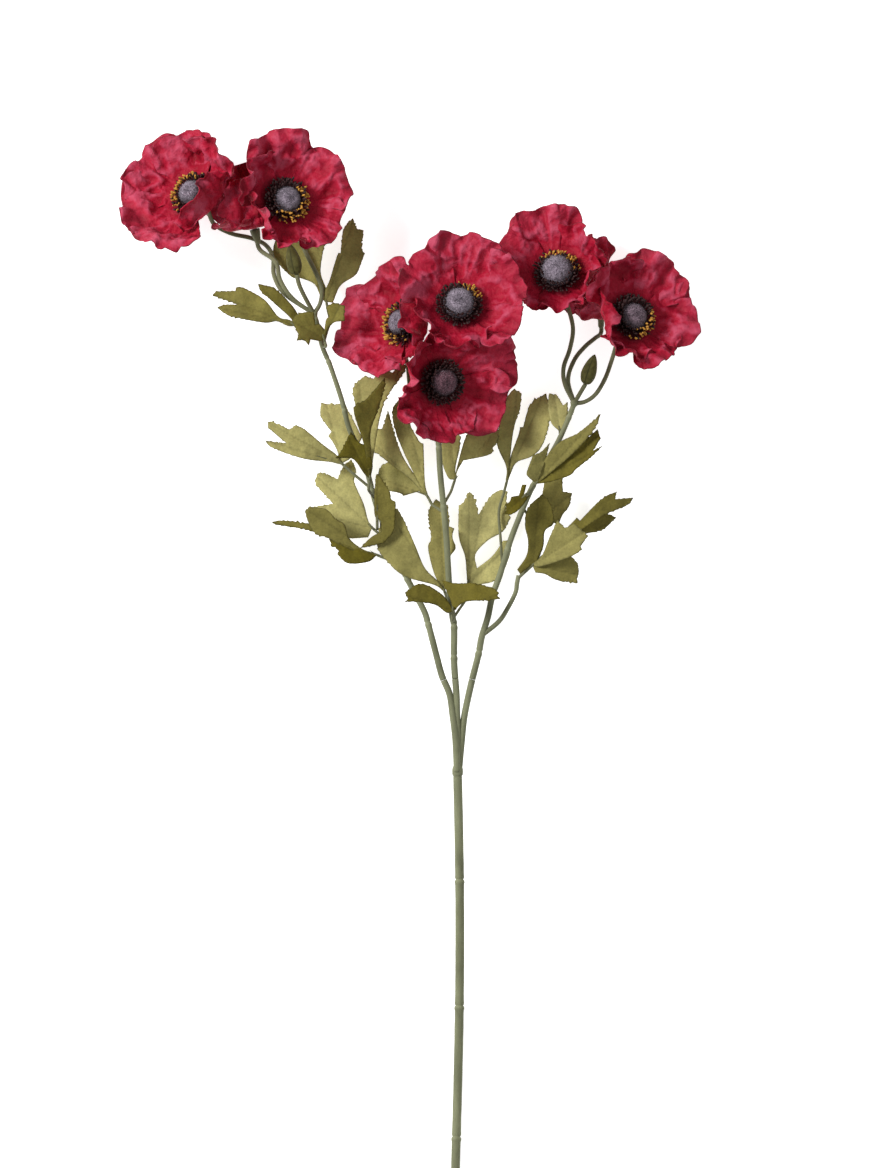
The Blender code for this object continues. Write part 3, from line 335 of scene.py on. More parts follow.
# Leaves: carrier, how far up it the stalk starts (y), leaf root, then the blades. Each blade: its brightness
# from 0 dark to 1 light, partly the cloth's print and partly painted light and shade for a lobe lit or
# shaded, sideways roll, tip, further rib ends, then its edge from one side of the root to the other.
LEAVES = {
    "left_leaf_1": ("left_branch", 533, (-84, 562, 17), [
        (0.42, 8, (-67, 616, 20), [], [
            (-80, 563), (-75, 574), (-65, 581), (-61, 590), (-59, 595), (-61, 598), (-60, 610), (-64, 611),
            (-67, 618), (-73, 611), (-75, 595), (-77, 594), (-82, 578), (-85, 571)]),
        (0.4, -10, (-92, 614, 10), [], [
            (-84, 571), (-88, 583), (-86, 598), (-81, 610), (-88, 615), (-102, 612), (-100, 602), (-92, 584),
            (-89, 570)]),
        (0.3, -14, (-118, 600, 9), [], [
            (-88, 567), (-92, 575), (-101, 579), (-107, 580), (-118, 592), (-119, 600), (-117, 605),
            (-108, 607), (-99, 598), (-89, 575)])]),
    "left_leaf_2": ("left_branch", 538, (-103, 547, 38), [
        (0.2, 12, (-155, 559, 32), [(-158, 568)], [
            (-109, 547), (-116, 550), (-124, 549), (-141, 552), (-148, 554), (-155, 559), (-151, 561),
            (-142, 561), (-158, 567), (-156, 570), (-143, 570), (-143, 572), (-138, 572), (-124, 564),
            (-115, 553), (-108, 551)]),
        (0.12, 20, (-128, 574, 42), [], [
            (-107, 552), (-117, 561), (-119, 563), (-126, 569), (-128, 574), (-117, 571), (-106, 560),
            (-101, 552)])]),
    "left_leaf_3": ("left_branch", 533, (-85, 537, 40), [
        (0.16, 24, (-105, 549, 47), [], [
            (-83, 542), (-88, 548), (-91, 548), (-92, 556), (-101, 555), (-106, 550), (-102, 541),
            (-103, 537), (-98, 537), (-95, 534), (-94, 538), (-88, 537)]),
        (0.16, -10, (-75, 561, 40), [], [
            (-85, 545), (-84, 551), (-82, 553), (-84, 559), (-79, 562), (-72, 560), (-72, 550), (-79, 549),
            (-83, 544)])]),
    "left_leaf_4": ("left_branch", 442, (-73, 457, 25), [
        (0.68, 10, (-124, 473, 32), [(-121, 484)], [
            (-82, 459), (-99, 461), (-119, 468), (-124, 473), (-110, 471), (-122, 481), (-122, 485),
            (-118, 485), (-108, 480), (-104, 483), (-98, 480), (-86, 470), (-78, 464)]),
        (0.88, 14, (-85, 498, 8), [], [
            (-77, 466), (-80, 472), (-83, 476), (-81, 479), (-88, 489), (-88, 498), (-80, 497), (-73, 498),
            (-67, 487), (-61, 475), (-67, 463)])]),
    "left_leaf_5": ("left_branch", 436, (-56, 447, 36), [
        (0.02, 16, (-70, 475, 46), [(-77, 461)], [
            (-60, 452), (-64, 458), (-68, 461), (-78, 461), (-74, 466), (-68, 478), (-62, 471), (-58, 470),
            (-54, 458)]),
        (0.1, 20, (-47, 511, 50), [], [
            (-59, 468), (-64, 484), (-66, 492), (-64, 496), (-58, 499), (-46, 513), (-46, 507), (-50, 493),
            (-55, 479), (-55, 466)]),
        (0.62, -12, (-36, 522, 30), [(-63, 512)], [
            (-61, 478), (-65, 495), (-67, 505), (-65, 510), (-59, 515), (-53, 513), (-50, 520), (-41, 517),
            (-36, 523), (-32, 522), (-34, 516), (-44, 502), (-49, 488), (-53, 465)])]),
    "left_leaf_6": ("left_branch", 388, (-53, 415, 14), [
        (0.88, 4, (-90, 449, 12), [(-70, 458), (-96, 427)], [
            (-57, 421), (-60, 432), (-66, 446), (-65, 454), (-68, 461), (-73, 457), (-77, 448), (-86, 452),
            (-90, 452), (-92, 447), (-90, 443), (-80, 432), (-92, 430), (-98, 427), (-88, 420), (-73, 410),
            (-57, 410)])]),
    "left_leaf_7": ("left_branch", 386, (-50, 398, 22), [
        (0.02, 12, (-80, 409, 26), [], [
            (-57, 394), (-70, 393), (-77, 399), (-76, 401), (-81, 406), (-84, 414), (-73, 416), (-68, 407),
            (-57, 400)]),
        (0.24, -18, (-97, 428, 30), [], [
            (-66, 399), (-82, 409), (-91, 412), (-96, 420), (-98, 427), (-95, 430), (-84, 428), (-78, 422),
            (-72, 418), (-69, 409), (-60, 402)]),
        (0.14, 6, (-120, 420, 24), [], [
            (-66, 401), (-84, 410), (-98, 415), (-116, 418), (-120, 420), (-112, 421), (-96, 419), (-78, 414),
            (-62, 403)])]),
    "left_leaf_8": ("left_branch", 430, (-51, 420, 31), [
        (0.16, 6, (-51, 449, 34), [(-61, 403)], [
            (-53, 428), (-52, 449), (-50, 451), (-43, 440), (-42, 435), (-39, 433), (-39, 428), (-40, 415),
            (-45, 408), (-48, 406), (-56, 404), (-62, 403), (-55, 410), (-48.5, 413.5), (-48.5, 420)])]),
    "centre_leaf_1": ("centre_branch", 357, (-7, 374, 20), [
        (0.46, -4, (-43, 424, 25), [], [
            (-14, 379), (-34, 385), (-47, 397), (-51, 404), (-50, 414), (-48, 421), (-42, 427), (-38, 429),
            (-33, 420), (-26, 404), (-20, 390), (-12, 382)]),
        (0.42, -6, (-11, 434, 8), [], [
            (-13, 384), (-16, 393), (-18, 404), (-16, 410), (-18, 426), (-13, 435), (-5, 431), (-4, 417),
            (-1, 416), (-2, 410), (0, 403), (-4, 396), (-4, 382)])]),
    "centre_leaf_2": ("centre_branch", 355, (-2, 361, 34), [
        (0.06, 25, (-32, 372, 41), [], [
            (-6, 361), (-13, 366), (-24, 368), (-33, 368), (-31, 370), (-33, 374), (-26, 379), (-19, 379),
            (-8, 372)]),
        (0.05, -25, (28, 373, 42), [], [
            (-3, 368), (-9, 382), (0, 380), (12, 380), (24, 377), (28, 374), (27, 372), (29, 370), (20, 369),
            (6, 368)])]),
    "centre_leaf_3": ("centre_branch", 357, (8, 378, 9), [
        (0.95, 0, (19, 436, 7), [(9, 438), (36, 406)], [
            (7, 388), (6, 398), (2, 411), (2, 431), (5, 433), (9, 440), (12, 437), (15, 425), (22, 436),
            (29, 441), (34, 440), (33, 430), (36, 423), (31, 414), (21, 408), (13, 399), (14, 390),
            (24, 398), (31, 408), (37, 408), (35, 397), (28, 383), (14, 379)])]),
    "centre_leaf_4": ("centre_branch", 426, (-18, 436, 22), [
        (0.55, -12, (-35, 501, 16), [], [
            (-20, 446), (-21, 471), (-24, 473), (-31, 487), (-34, 503), (-41, 494), (-40, 482), (-35, 468),
            (-27, 451)]),
        (0.7, 8, (-45, 491, 14), [(-57, 475)], [
            (-25, 448), (-35, 464), (-41, 482), (-44, 493), (-48, 481), (-58, 479), (-57, 470), (-44, 459),
            (-31, 449)]),
        (0.52, 16, (-51, 449, 16), [(-34, 438)], [
            (-27, 447), (-38, 456), (-44, 459), (-49, 456), (-51, 448), (-48, 441), (-37, 439), (-34, 437),
            (-24, 440)])]),
    "centre_leaf_5": ("centre_branch", 430, (-1, 446, 20), [
        (0.6, 8, (-4, 481, 19), [], [
            (-5, 449), (-9, 460), (-9, 473), (-6, 482), (2, 482), (3, 470), (0, 456)]),
        (0.5, -8, (25, 478, 25), [], [
            (1, 453), (5, 460), (20, 463), (25, 466), (24, 468), (28, 474), (26, 488), (14, 488),
            (6, 474)])]),
    "right_leaf_1": ("right_branch", 390, (33, 445, 14), [
        (0.55, 8, (40, 505, 16), [], [
            (33, 456), (27, 470), (28, 481), (33, 500), (38, 507), (43, 504), (42, 494), (38, 481), (36, 466),
            (35, 454)]),
        (0.62, -12, (56, 501, 13), [], [
            (36, 463), (41, 477), (42, 482), (44, 482), (48, 496), (52, 500), (59, 504), (62, 490), (57, 471),
            (50, 463), (40, 459), (36, 452)])]),
    "right_leaf_2": ("right_branch", 436, (51, 444, 36), [
        (0.3, -8, (93, 489, 43), [], [
            (53, 452), (60, 464), (68, 472), (80, 478), (94, 490), (90, 480), (78, 466), (62, 452)]),
        (0.06, -12, (93, 476, 40), [(93, 467)], [
            (60, 453), (78, 468), (92, 480), (94, 474), (89, 466), (95, 469), (88, 462), (78, 454), (74, 450),
            (62, 446)]),
        (0.42, 16, (59, 468, 42), [], [
            (47, 449), (46, 452), (50, 463), (55, 465), (61, 471), (57, 456)])]),
    "right_leaf_3": ("right_branch", 428, (56, 422, 14), [
        (0.3, 6, (69, 447, 10), [(75, 438)], [
            (55, 430), (58, 446), (70, 450), (70, 440), (76, 439), (74, 430), (70, 425), (67, 418)])]),
    "right_leaf_4": ("twig", 384, (49, 391, 26), [
        (0.14, 14, (54, 437, 26), [], [
            (42, 386), (40, 389), (46, 398), (47, 408), (45, 418), (47, 429), (56, 438), (61, 433),
            (64, 423), (63, 418), (58, 414), (57, 404), (53, 394)]),
        (0.46, -6, (83, 413, 34), [], [
            (56, 398), (61, 410), (66, 421), (71, 416), (77, 419), (86, 411), (81, 404), (82, 402), (74, 397),
            (56, 391)]),
        (0.28, 4, (79, 386, 22), [], [
            (57, 393), (66, 397), (75, 398), (80, 391), (79, 380), (66, 382), (58, 386), (52, 387)])]),
    "right_leaf_5": ("twig", 383, (66, 403, 14), [
        (0.14, 0, (115, 435, 16), [], [
            (70, 413), (79, 423), (81, 421), (95, 435), (105, 440), (104, 435), (116, 436), (112, 431),
            (96, 424), (80, 413)]),
        (0.12, 10, (104, 421, 10), [], [
            (78, 417), (97, 425), (105, 423), (96, 415), (84, 412), (74, 406)])]),
    "right_leaf_6": ("right_branch", 484, (68, 478, 22), [
        (0.9, 0, (64, 503, 18), [], [
            (62, 485), (60, 496), (61, 504), (66, 503), (70, 496), (73, 498), (73, 488), (71, 481)])]),
    "right_leaf_7": ("right_branch", 446, (46, 438, 36), [
        (0.0, 22, (33, 427, 43), [], [
            (46, 444), (43, 444), (41, 437), (36, 436), (35, 433), (32, 431), (33, 428), (31, 425),
            (37, 425), (43, 430), (48, 437)])]),
}


# Sizes and colours a user would change

class PoppySizes(bpy.types.PropertyGroup):
    """Sizes of the fine shapes."""
    petal_thickness: bpy.props.FloatProperty(
        name="Petal thickness", description="Thickness of the petal cloth", default=0.0005, unit="LENGTH")
    crumple: bpy.props.FloatProperty(
        name="Crumple", description="Depth of the pressed dimples in the petals", default=0.0016,
        unit="LENGTH")
    ruffle: bpy.props.FloatProperty(
        name="Ruffle", description="Height of the waves along the petal rims", default=0.0017, unit="LENGTH")
    leaf_thickness: bpy.props.FloatProperty(
        name="Leaf thickness", description="Thickness of the leaf cloth", default=0.0005, unit="LENGTH")
    tooth: bpy.props.FloatProperty(
        name="Leaf tooth", description="Depth of the small teeth cut in the leaf edges", default=0.0013,
        unit="LENGTH")
    flock: bpy.props.FloatProperty(
        name="Flock", description="Height of the fuzz on the flower eyes", default=0.0004, unit="LENGTH")
    stamens: bpy.props.IntProperty(
        name="Stamens", description="Threads in each flower's ring", default=150, min=12, max=200)


class PoppyColours(bpy.types.PropertyGroup):
    """Colours of the finishes, as linear red, green and blue."""
    # Painted shade: the deep crimson that the petal cloth takes in its folds
    petal_deep: bpy.props.FloatVectorProperty(
        name="Petal, in the folds", description="Petal cloth where it sinks", subtype="COLOR",
        default=(0.225, 0.0008, 0.011))
    petal_mid: bpy.props.FloatVectorProperty(
        name="Petal", description="Petal cloth where it lies flat", subtype="COLOR",
        default=(0.41, 0.006, 0.03))
    # Painted highlight: the pink that the petal cloth takes on its ridges; it also paints the outer part of
    # each petal paler
    petal_light: bpy.props.FloatVectorProperty(
        name="Petal, on the ridges", description="Petal cloth where it stands up", subtype="COLOR",
        default=(0.51, 0.068, 0.125))
    petal_heart: bpy.props.FloatVectorProperty(
        name="Petal heart", description="Dyed middle of the flower, under the stamens", subtype="COLOR",
        default=(0.028, 0.001, 0.004))
    petal_rim: bpy.props.FloatVectorProperty(
        name="Petal rim", description="Heat-cut edge of the petals", subtype="COLOR",
        default=(0.16, 0.012, 0.02))
    stamen: bpy.props.FloatVectorProperty(
        name="Stamen", description="Dark threads and heads", subtype="COLOR", default=(0.02, 0.007, 0.007))
    gold: bpy.props.FloatVectorProperty(
        name="Stamen, golden", description="Heads dusted with gold", subtype="COLOR",
        default=(0.65, 0.32, 0.05))
    eye: bpy.props.FloatVectorProperty(
        name="Eye", description="Flock on the flower eyes", subtype="COLOR", default=(0.3, 0.25, 0.3))
    eye_stain: bpy.props.FloatVectorProperty(
        name="Eye, stained", description="Dye that tints the flock of the redder eyes", subtype="COLOR",
        default=(0.55, 0.2, 0.22))
    stem: bpy.props.FloatVectorProperty(
        name="Stem", description="Plastic of the stems", subtype="COLOR", default=(0.215, 0.225, 0.13))
    stalk: bpy.props.FloatVectorProperty(
        name="Stalk", description="Plastic of the flower and leaf stalks", subtype="COLOR",
        default=(0.15, 0.15, 0.078))
    bud: bpy.props.FloatVectorProperty(
        name="Bud", description="Wax of the buds", subtype="COLOR", default=(0.08, 0.074, 0.02))
    # Painted light and shade with the print: the leaf colours run from lobes in shade to lobes in full light
    leaf_dark: bpy.props.FloatVectorProperty(
        name="Leaf, dark", description="Darkest printed leaf cloth", subtype="COLOR",
        default=(0.122, 0.1, 0.007))
    leaf_light: bpy.props.FloatVectorProperty(
        name="Leaf, light", description="Lightest printed leaf cloth", subtype="COLOR",
        default=(0.475, 0.435, 0.17))


# Shapes

def smoothstep(value):
    """Ease from 0 to 1."""
    value = min(1.0, max(0.0, value))
    return value * value * (3 - 2 * value)


def smooth_route(points, parts=8):
    """Return a smooth curve through the points."""
    ends = [Vector(p) for p in points]
    padded = [ends[0] * 2 - ends[1]] + ends + [ends[-1] * 2 - ends[-2]]
    curve = []
    for i in range(1, len(padded) - 2):
        before, start, stop, after = padded[i - 1:i + 3]
        for k in range(parts):
            t = k / parts
            bend = (2 * start + (stop - before) * t
                    + (2 * before - 5 * start + 4 * stop - after) * t ** 2
                    + (3 * start - before - 3 * stop + after) * t ** 3)
            curve.append(bend * 0.5)
    curve.append(ends[-1])
    return curve


def route_length(curve):
    """Return the length of a curve in millimetres."""
    return sum((b - a).length for a, b in zip(curve, curve[1:]))


def point_along(curve, distance):
    """Return the point at a distance along a curve."""
    left = distance
    for a, b in zip(curve, curve[1:]):
        span = (b - a).length
        if left <= span or b is curve[-1]:
            return a + (b - a) * (left / span)
        left -= span
    return curve[-1]


class Shape:
    """Points, faces and per-point values gathered for one piece."""

    def __init__(self):
        self.points = []
        self.faces = []
        self.values = {}

    def add(self, points, faces, **values):
        """Add points and faces with one value per point under each name."""
        first = len(self.points)
        self.points += points
        self.faces += [tuple(first + i for i in face) for face in faces]
        for name in {**self.values, **values}:
            kept = self.values.setdefault(name, [0.0] * first)
            new = values.get(name, 0.0)
            kept += list(new) if isinstance(new, (list, tuple)) else [new] * len(points)

    def build(self, name, material):
        """Make the piece, put it on the body and give it its finish."""
        mesh = bpy.data.meshes.new(name)
        mesh.from_pydata([p * MM for p in self.points], [], self.faces)
        for label, values in self.values.items():
            layer = mesh.attributes.new(label, "FLOAT", "POINT")
            layer.data.foreach_set("value", values)
        mesh.materials.append(material)
        mesh.shade_smooth()
        mesh.update()
        piece = bpy.data.objects.new(name, mesh)
        bpy.context.scene.collection.objects.link(piece)
        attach(piece, BODY)
        return piece


def ring_faces(rings, sides):
    """Return the faces of stacked rings of points, closed at both ends and outward when they climb."""
    faces = []
    for i in range(rings - 1):
        for k in range(sides):
            a = i * sides + k
            b = i * sides + (k + 1) % sides
            faces.append((a, b, b + sides, a + sides))
    faces.append(tuple(reversed(range(sides))))
    faces.append(tuple(range((rings - 1) * sides, rings * sides)))
    return faces


def tube_points(curve, stations, sides):
    """Sweep a circle along a curve; stations are distance and radius."""
    centres = [point_along(curve, distance) for distance, _ in stations]
    points = []
    up = Vector((0, 0, 1))
    for i, centre in enumerate(centres):
        ahead = (centres[min(i + 1, len(centres) - 1)] - centres[max(i - 1, 0)]).normalized()
        up = (up - ahead * up.dot(ahead)).normalized()
        side = up.cross(ahead)
        for k in range(sides):
            angle = 2 * math.pi * (k + 0.5) / sides
            out = side * math.cos(angle) + up * math.sin(angle)
            points.append(centre + out * stations[i][1])
    return points


def add_tube(shape, curve, radius, sides, **values):
    """Add a closed tube whose radius is a function of the distance along it."""
    length = route_length(curve)
    count = max(2, round(length / TUBE_STEP))
    stations = [(length * i / count, radius(length * i / count)) for i in range(count + 1)]
    shape.add(tube_points(curve, stations, sides), ring_faces(count + 1, sides), **values)


def add_turned(shape, base, axis, profile, sides, lobes=0, depth=0.0, **values):
    """Add a profile of radius and height turned round an axis, with a lobed rim where asked."""
    axis = axis.normalized()
    side = axis.orthogonal().normalized()
    other = axis.cross(side)
    points = []
    for radius, height in profile:
        for k in range(sides):
            angle = 2 * math.pi * k / sides
            reach = radius * (1 + depth * math.cos(lobes * angle))
            points.append(base + axis * height + (side * math.cos(angle) + other * math.sin(angle)) * reach)
    shape.add(points, ring_faces(len(profile), sides), **values)


def smooth_profile(profile, steps=6):
    """Round a profile of radius and height through its points."""
    curve = smooth_route([(r, h, 0) for r, h in profile], steps)
    return [(max(p.x, 0.02), p.y) for p in curve]


def joint_swell(distance, joints, radius):
    """Return how much a stem swells and necks near its joints, with a faint unevenness all along."""
    swell = 1.0
    for joint in joints:
        for strength, place, reach in JOINT_SHAPE:
            swell += strength * math.exp(-((distance - joint - place) / reach) ** 2)
    return swell + 0.03 * noise.noise(Vector((distance * 0.12, radius * 7, 3.1)))


def joint_mark(distance, joints):
    """Return how strongly the pale mark of a joint shows, up to 1 at the joint."""
    return max(math.exp(-((distance - joint) / JOINT_MARK_REACH) ** 2) for joint in joints)


def carrier_curves():
    """Return the curves of the branches and of the leafy twig."""
    curves = {name: smooth_route(trunk["route"]) for name, trunk in TRUNKS.items()}
    curves["twig"] = smooth_route(TWIG_ROUTE)
    return curves


# Petals

def flower_axes(flower):
    """Return the flower's two side directions and the way it faces."""
    tilt = math.radians(flower["tilt"])
    toward = math.radians(flower["toward"])
    face = Vector((math.sin(tilt) * math.cos(toward), math.sin(tilt) * math.sin(toward), math.cos(tilt)))
    side = Vector((1, 0, 0)) - face * face.x
    side.normalize()
    return side, face.cross(side), face


def petal_profile(length, mid, rim, flat, steps=40):
    """Return run, height and slope along a petal's middle, from its rises in degrees."""
    start = flat / length
    turn = 0.28 * min(1.0, 45.0 / mid)
    run = 0.0
    height = 0.0
    profile = [(run, height, math.radians(BASE_RISE))]
    for i in range(steps):
        part = (i + 0.5) / steps
        rise = BASE_RISE + (mid - BASE_RISE) * smoothstep((part - start) / turn)
        rise += (rim - mid) * smoothstep((part - start - turn) / 0.36)
        slope = math.radians(rise)
        run += length / steps * math.cos(slope)
        height += length / steps * math.sin(slope)
        profile.append((run, height, slope))
    return profile


def pressed_relief(along, wide, fan, seed):
    """Return how far the pressed cloth stands up at a place; below 0 it sinks."""
    spot = Vector((along * FOLDS[0], wide * FOLDS[1], seed * 3.1))
    spot += noise.noise_vector(spot * 1.9) * 0.3
    fold = 1.1 * (1 - 3.4 * abs(noise.noise(spot))) + 0.8 * noise.noise(spot * 1.3 + Vector((7, 0, 0)))
    cell = Vector((along * DIMPLES[0], wide * DIMPLES[1], seed * 2.3))
    cell += noise.noise_vector(cell * 1.7) * 0.4
    near, second = noise.voronoi(cell)[0][:2]
    dimple = 0.45 - 1.3 * min(second - near, 0.6)
    pleat = 1 - 4 * abs(noise.noise(Vector((fan * 7, along * 0.03, seed * 1.1))))
    return fold + 0.55 * dimple + 0.3 * pleat * smoothstep(along / 30)


def profile_at(profile, place):
    """Return run, height and slope at a place on a petal's profile, from 0 at its root to 1."""
    place *= len(profile) - 1
    low = min(int(place), len(profile) - 2)
    blend = place - low
    return [a * (1 - blend) + b * blend for a, b in zip(profile[low], profile[low + 1])]


def petal_reach(length, across, phase):
    """Return how far a petal reaches at a place across it: less at the corners, and faintly wavy."""
    reach = length * (1 - 0.2 * abs(across) ** 3.5)
    return reach * (1 + 0.035 * math.sin(phase + across * 5.5) + 0.02 * math.sin(phase * 2 + across * 11))


def petal_grid(petal, seed, size, rows, columns, crumple=0.0, ruffle_height=0.0):
    """Lay out one petal in its flower's own axes; return its grid and how far each point is pressed."""
    azimuth, spread, length, mid, rim, cup, layer = petal
    draw = random.Random(seed)
    phase = draw.uniform(0, 2 * math.pi)
    waves = draw.uniform(1.6, 2.2)
    ruffle = draw.uniform(1.8, 2.8)
    offset = Vector((seed * 3.7, seed * 1.9, seed * 5.3))
    flat = (STAMEN_REACH + FLAT_MARGIN) * size
    root = ROOT_RADIUS * size
    profile = petal_profile(length, mid, rim, flat)
    turn = math.radians(azimuth)
    spread = math.radians(spread + PETAL_LAP)
    bend = cup / length
    pitch = RUFFLE_PITCH * size
    grid = []
    pressed = []
    for i in range(rows + 1):
        part = (i / rows) ** 0.85
        row = []
        for j in range(columns + 1):
            across = 2 * j / columns - 1
            fan = across * spread
            edge = petal_reach(length, across, phase)
            if ruffle_height:
                edge += 1.3 * noise.noise(Vector((across * length * 0.13, seed * 1.7, 0.5)))
            out = root + (edge - root) * part
            along = out * math.cos(fan)
            wide = out * math.sin(fan)
            run, height, slope = profile_at(profile, min(along / length, 1.0))
            hollow = (1 - math.cos(bend * wide)) / bend
            narrow = math.sin(bend * wide) / bend
            wave = ruffle * part ** 2.4 * math.sin(math.pi * waves * across + phase)
            spot = Vector((along, wide, 0)) * 0.085 + offset
            free = smoothstep((out - flat + 3) / 15)
            wave += 2.6 * free * noise.noise(spot)
            press = 0.0
            if ruffle_height:
                press = free * pressed_relief(along, wide, fan, seed)
                wave += crumple * press
                drift = noise.noise(Vector((wide * 0.07, along * 0.03, seed * 0.7))) * 3.0
                swing = 2 * math.pi * wide / pitch + drift
                strength = ruffle_height * part ** 5 * (1.0 + 0.4 * smoothstep((rim - 35) / 40))
                wave += strength * math.sin(swing)
                narrow += strength * 0.5 * math.cos(swing * 2)
                press += 0.6 * part ** 5 * math.sin(swing)
            lift = hollow + wave
            x = run - math.sin(slope) * lift
            z = height + math.cos(slope) * lift + LAYER_LIFT * layer + 0.6
            row.append(Vector((
                x * math.cos(turn) - narrow * math.sin(turn),
                x * math.sin(turn) + narrow * math.cos(turn),
                z)))
            pressed.append(press)
        grid.append(row)
    return grid, pressed


def cloth_sides(grid, half_thickness):
    """Return the points of a cloth's upper side and those of its lower side, row by row."""
    rows = len(grid)
    columns = len(grid[0])
    top = []
    under = []
    for i in range(rows):
        for j in range(columns):
            along = grid[min(i + 1, rows - 1)][j] - grid[max(i - 1, 0)][j]
            across = grid[i][min(j + 1, columns - 1)] - grid[i][max(j - 1, 0)]
            normal = across.cross(along).normalized()
            top.append(grid[i][j] + normal * half_thickness)
            under.append(grid[i][j] - normal * half_thickness)
    return top, under


def sheet_faces(rows, columns):
    """Return the faces of a closed sheet of rows by columns points a side."""
    lower = rows * columns
    faces = []
    for i in range(rows - 1):
        for j in range(columns - 1):
            a = i * columns + j
            b = a + 1
            c = b + columns
            d = a + columns
            faces.append((a, b, c, d))
            faces.append((a + lower, d + lower, c + lower, b + lower))
    rim = list(range(columns))
    rim += [i * columns + columns - 1 for i in range(1, rows)]
    rim += [(rows - 1) * columns + j for j in range(columns - 2, -1, -1)]
    rim += [i * columns for i in range(rows - 2, 0, -1)]
    for a, b in zip(rim, rim[1:] + rim[:1]):
        faces.append((b, a, a + lower, b + lower))
    return faces


def flower_hub(flower):
    """Return where a flower's hub is; one that rests is let down until its petals touch the table."""
    side, other, face = flower_axes(flower)
    hub = Vector(flower["hub"])
    if not flower.get("rests"):
        return hub
    lowest = []
    for k, petal in enumerate(flower["petals"]):
        columns = CAD_COLUMNS if petal[2] > LONG_PETAL else CAD_COLUMNS - 1
        grid, _ = petal_grid(petal, flower["seed"] * 10 + k, flower["size"], CAD_ROWS, columns)
        placed = [[side * p.x + other * p.y + face * p.z for p in row] for row in grid]
        for points in cloth_sides(placed, CAD_HALF_THICKNESS):
            lowest.append(min(p.z for p in points))
    hub.z = -min(lowest)
    return hub


def make_petals(key, flower, sizes, material):
    """Make all the petals of one flower."""
    # The vector noise in the pressed folds is drawn anew in each session unless it is seeded
    noise.seed_set(flower["seed"])
    side, other, face = flower_axes(flower)
    hub = flower_hub(flower)
    size = flower.get("size", 1.0)
    half = sizes.petal_thickness / MM / 2
    shape = Shape()
    boss = [(HUB_RADIUS * size * 0.5, 0.2), (HUB_RADIUS * size * 0.95, 0.5), (HUB_RADIUS * size, 1.4),
            (HUB_RADIUS * size * 0.9, HUB_HEIGHT), (0.1, HUB_HEIGHT)]
    add_turned(shape, hub, face, boss, HUB_SIDES)
    for k, petal in enumerate(flower["petals"]):
        grid, pressed = petal_grid(
            petal, flower["seed"] * 10 + k, size, PETAL_ROWS, PETAL_COLUMNS,
            sizes.crumple / MM, sizes.ruffle / MM)
        placed = [[hub + side * p.x + other * p.y + face * p.z for p in row] for row in grid]
        for row in placed:
            for p in row:
                p.z = max(p.z, half)
        top, under = cloth_sides(placed, half)
        out = []
        rim = []
        for i in range(PETAL_ROWS + 1):
            for j in range(PETAL_COLUMNS + 1):
                middle = placed[i][j] - hub
                out.append((middle - face * middle.dot(face)).length / size)
                rim.append(1.0 if i == PETAL_ROWS or j in (0, PETAL_COLUMNS) else 0.0)
        shape.add(
            top + under, sheet_faces(PETAL_ROWS + 1, PETAL_COLUMNS + 1),
            pressed=pressed * 2, out=out * 2, rim=rim * 2)
    piece = shape.build(f"petals_{key}", material)
    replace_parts(piece, f"flower_{key}_petals")


def make_stamens(key, flower, sizes, material):
    """Make one flower's ring of threads with heads, some of them golden."""
    side, other, face = flower_axes(flower)
    size = flower.get("size", 1.0)
    draw = random.Random(flower["seed"])
    foot = flower_hub(flower) + face * (HUB_HEIGHT + GAP)
    shape = Shape()
    disc = [(DISC_RADIUS * size * 0.6, 0), (DISC_RADIUS * size, 0.4), (DISC_RADIUS * size, DISC_HEIGHT),
            (DISC_RADIUS * size * 0.4, DISC_HEIGHT)]
    add_turned(shape, foot, face, disc, DISC_SIDES, gold=0.0)
    middle, width = flower["gold"]
    for k in range(sizes.stamens):
        turn = 2 * math.pi * (k + draw.uniform(-0.3, 0.3)) / sizes.stamens
        out = side * math.cos(turn) + other * math.sin(turn)
        cross = face.cross(out)
        row = k % 3
        reach = (STAMEN_REACH - 2.1 * row + draw.uniform(-0.9, 1.1)) * size
        rise = (STAMEN_RISE + 2.2 * row + draw.uniform(-1.4, 1.6)) * size
        sway = cross * draw.uniform(-1.0, 1.0)
        start = foot + out * (DISC_RADIUS * size * 0.85) + face * 0.7
        bend = foot + out * (reach * 0.72) + face * (rise * 0.35) + sway * 0.5
        head = foot + out * reach + face * rise + sway
        curve = smooth_route([start, bend, head], 3)
        length = route_length(curve)
        stations = [(length * i / THREAD_STEPS, THREAD_RADIUS * size) for i in range(THREAD_STEPS + 1)]
        points = tube_points(curve, stations, THREAD_SIDES)
        shape.add(points, ring_faces(THREAD_STEPS + 1, THREAD_SIDES), gold=0.0)
        angle = math.degrees(math.atan2(out.y, out.x))
        off = abs((angle - middle + 180) % 360 - 180)
        golden = 1.0 if off < width * draw.uniform(0.6, 1.15) and draw.random() < 0.75 else 0.0
        heading = (head - bend).normalized()
        heading = (heading + cross * draw.uniform(-0.8, 0.8) + face * draw.uniform(-0.2, 0.6)).normalized()
        long = draw.uniform(1.1, 1.8) * size
        wide = draw.uniform(0.55, 0.85) * size
        profile = [(0.1, -long), (wide * 0.8, -long * 0.6), (wide, 0), (wide * 0.8, long * 0.6), (0.1, long)]
        add_turned(shape, head, heading, profile, HEAD_SIDES, gold=golden)
    piece = shape.build(f"stamens_{key}", material)
    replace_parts(piece, f"flower_{key}_stamens")


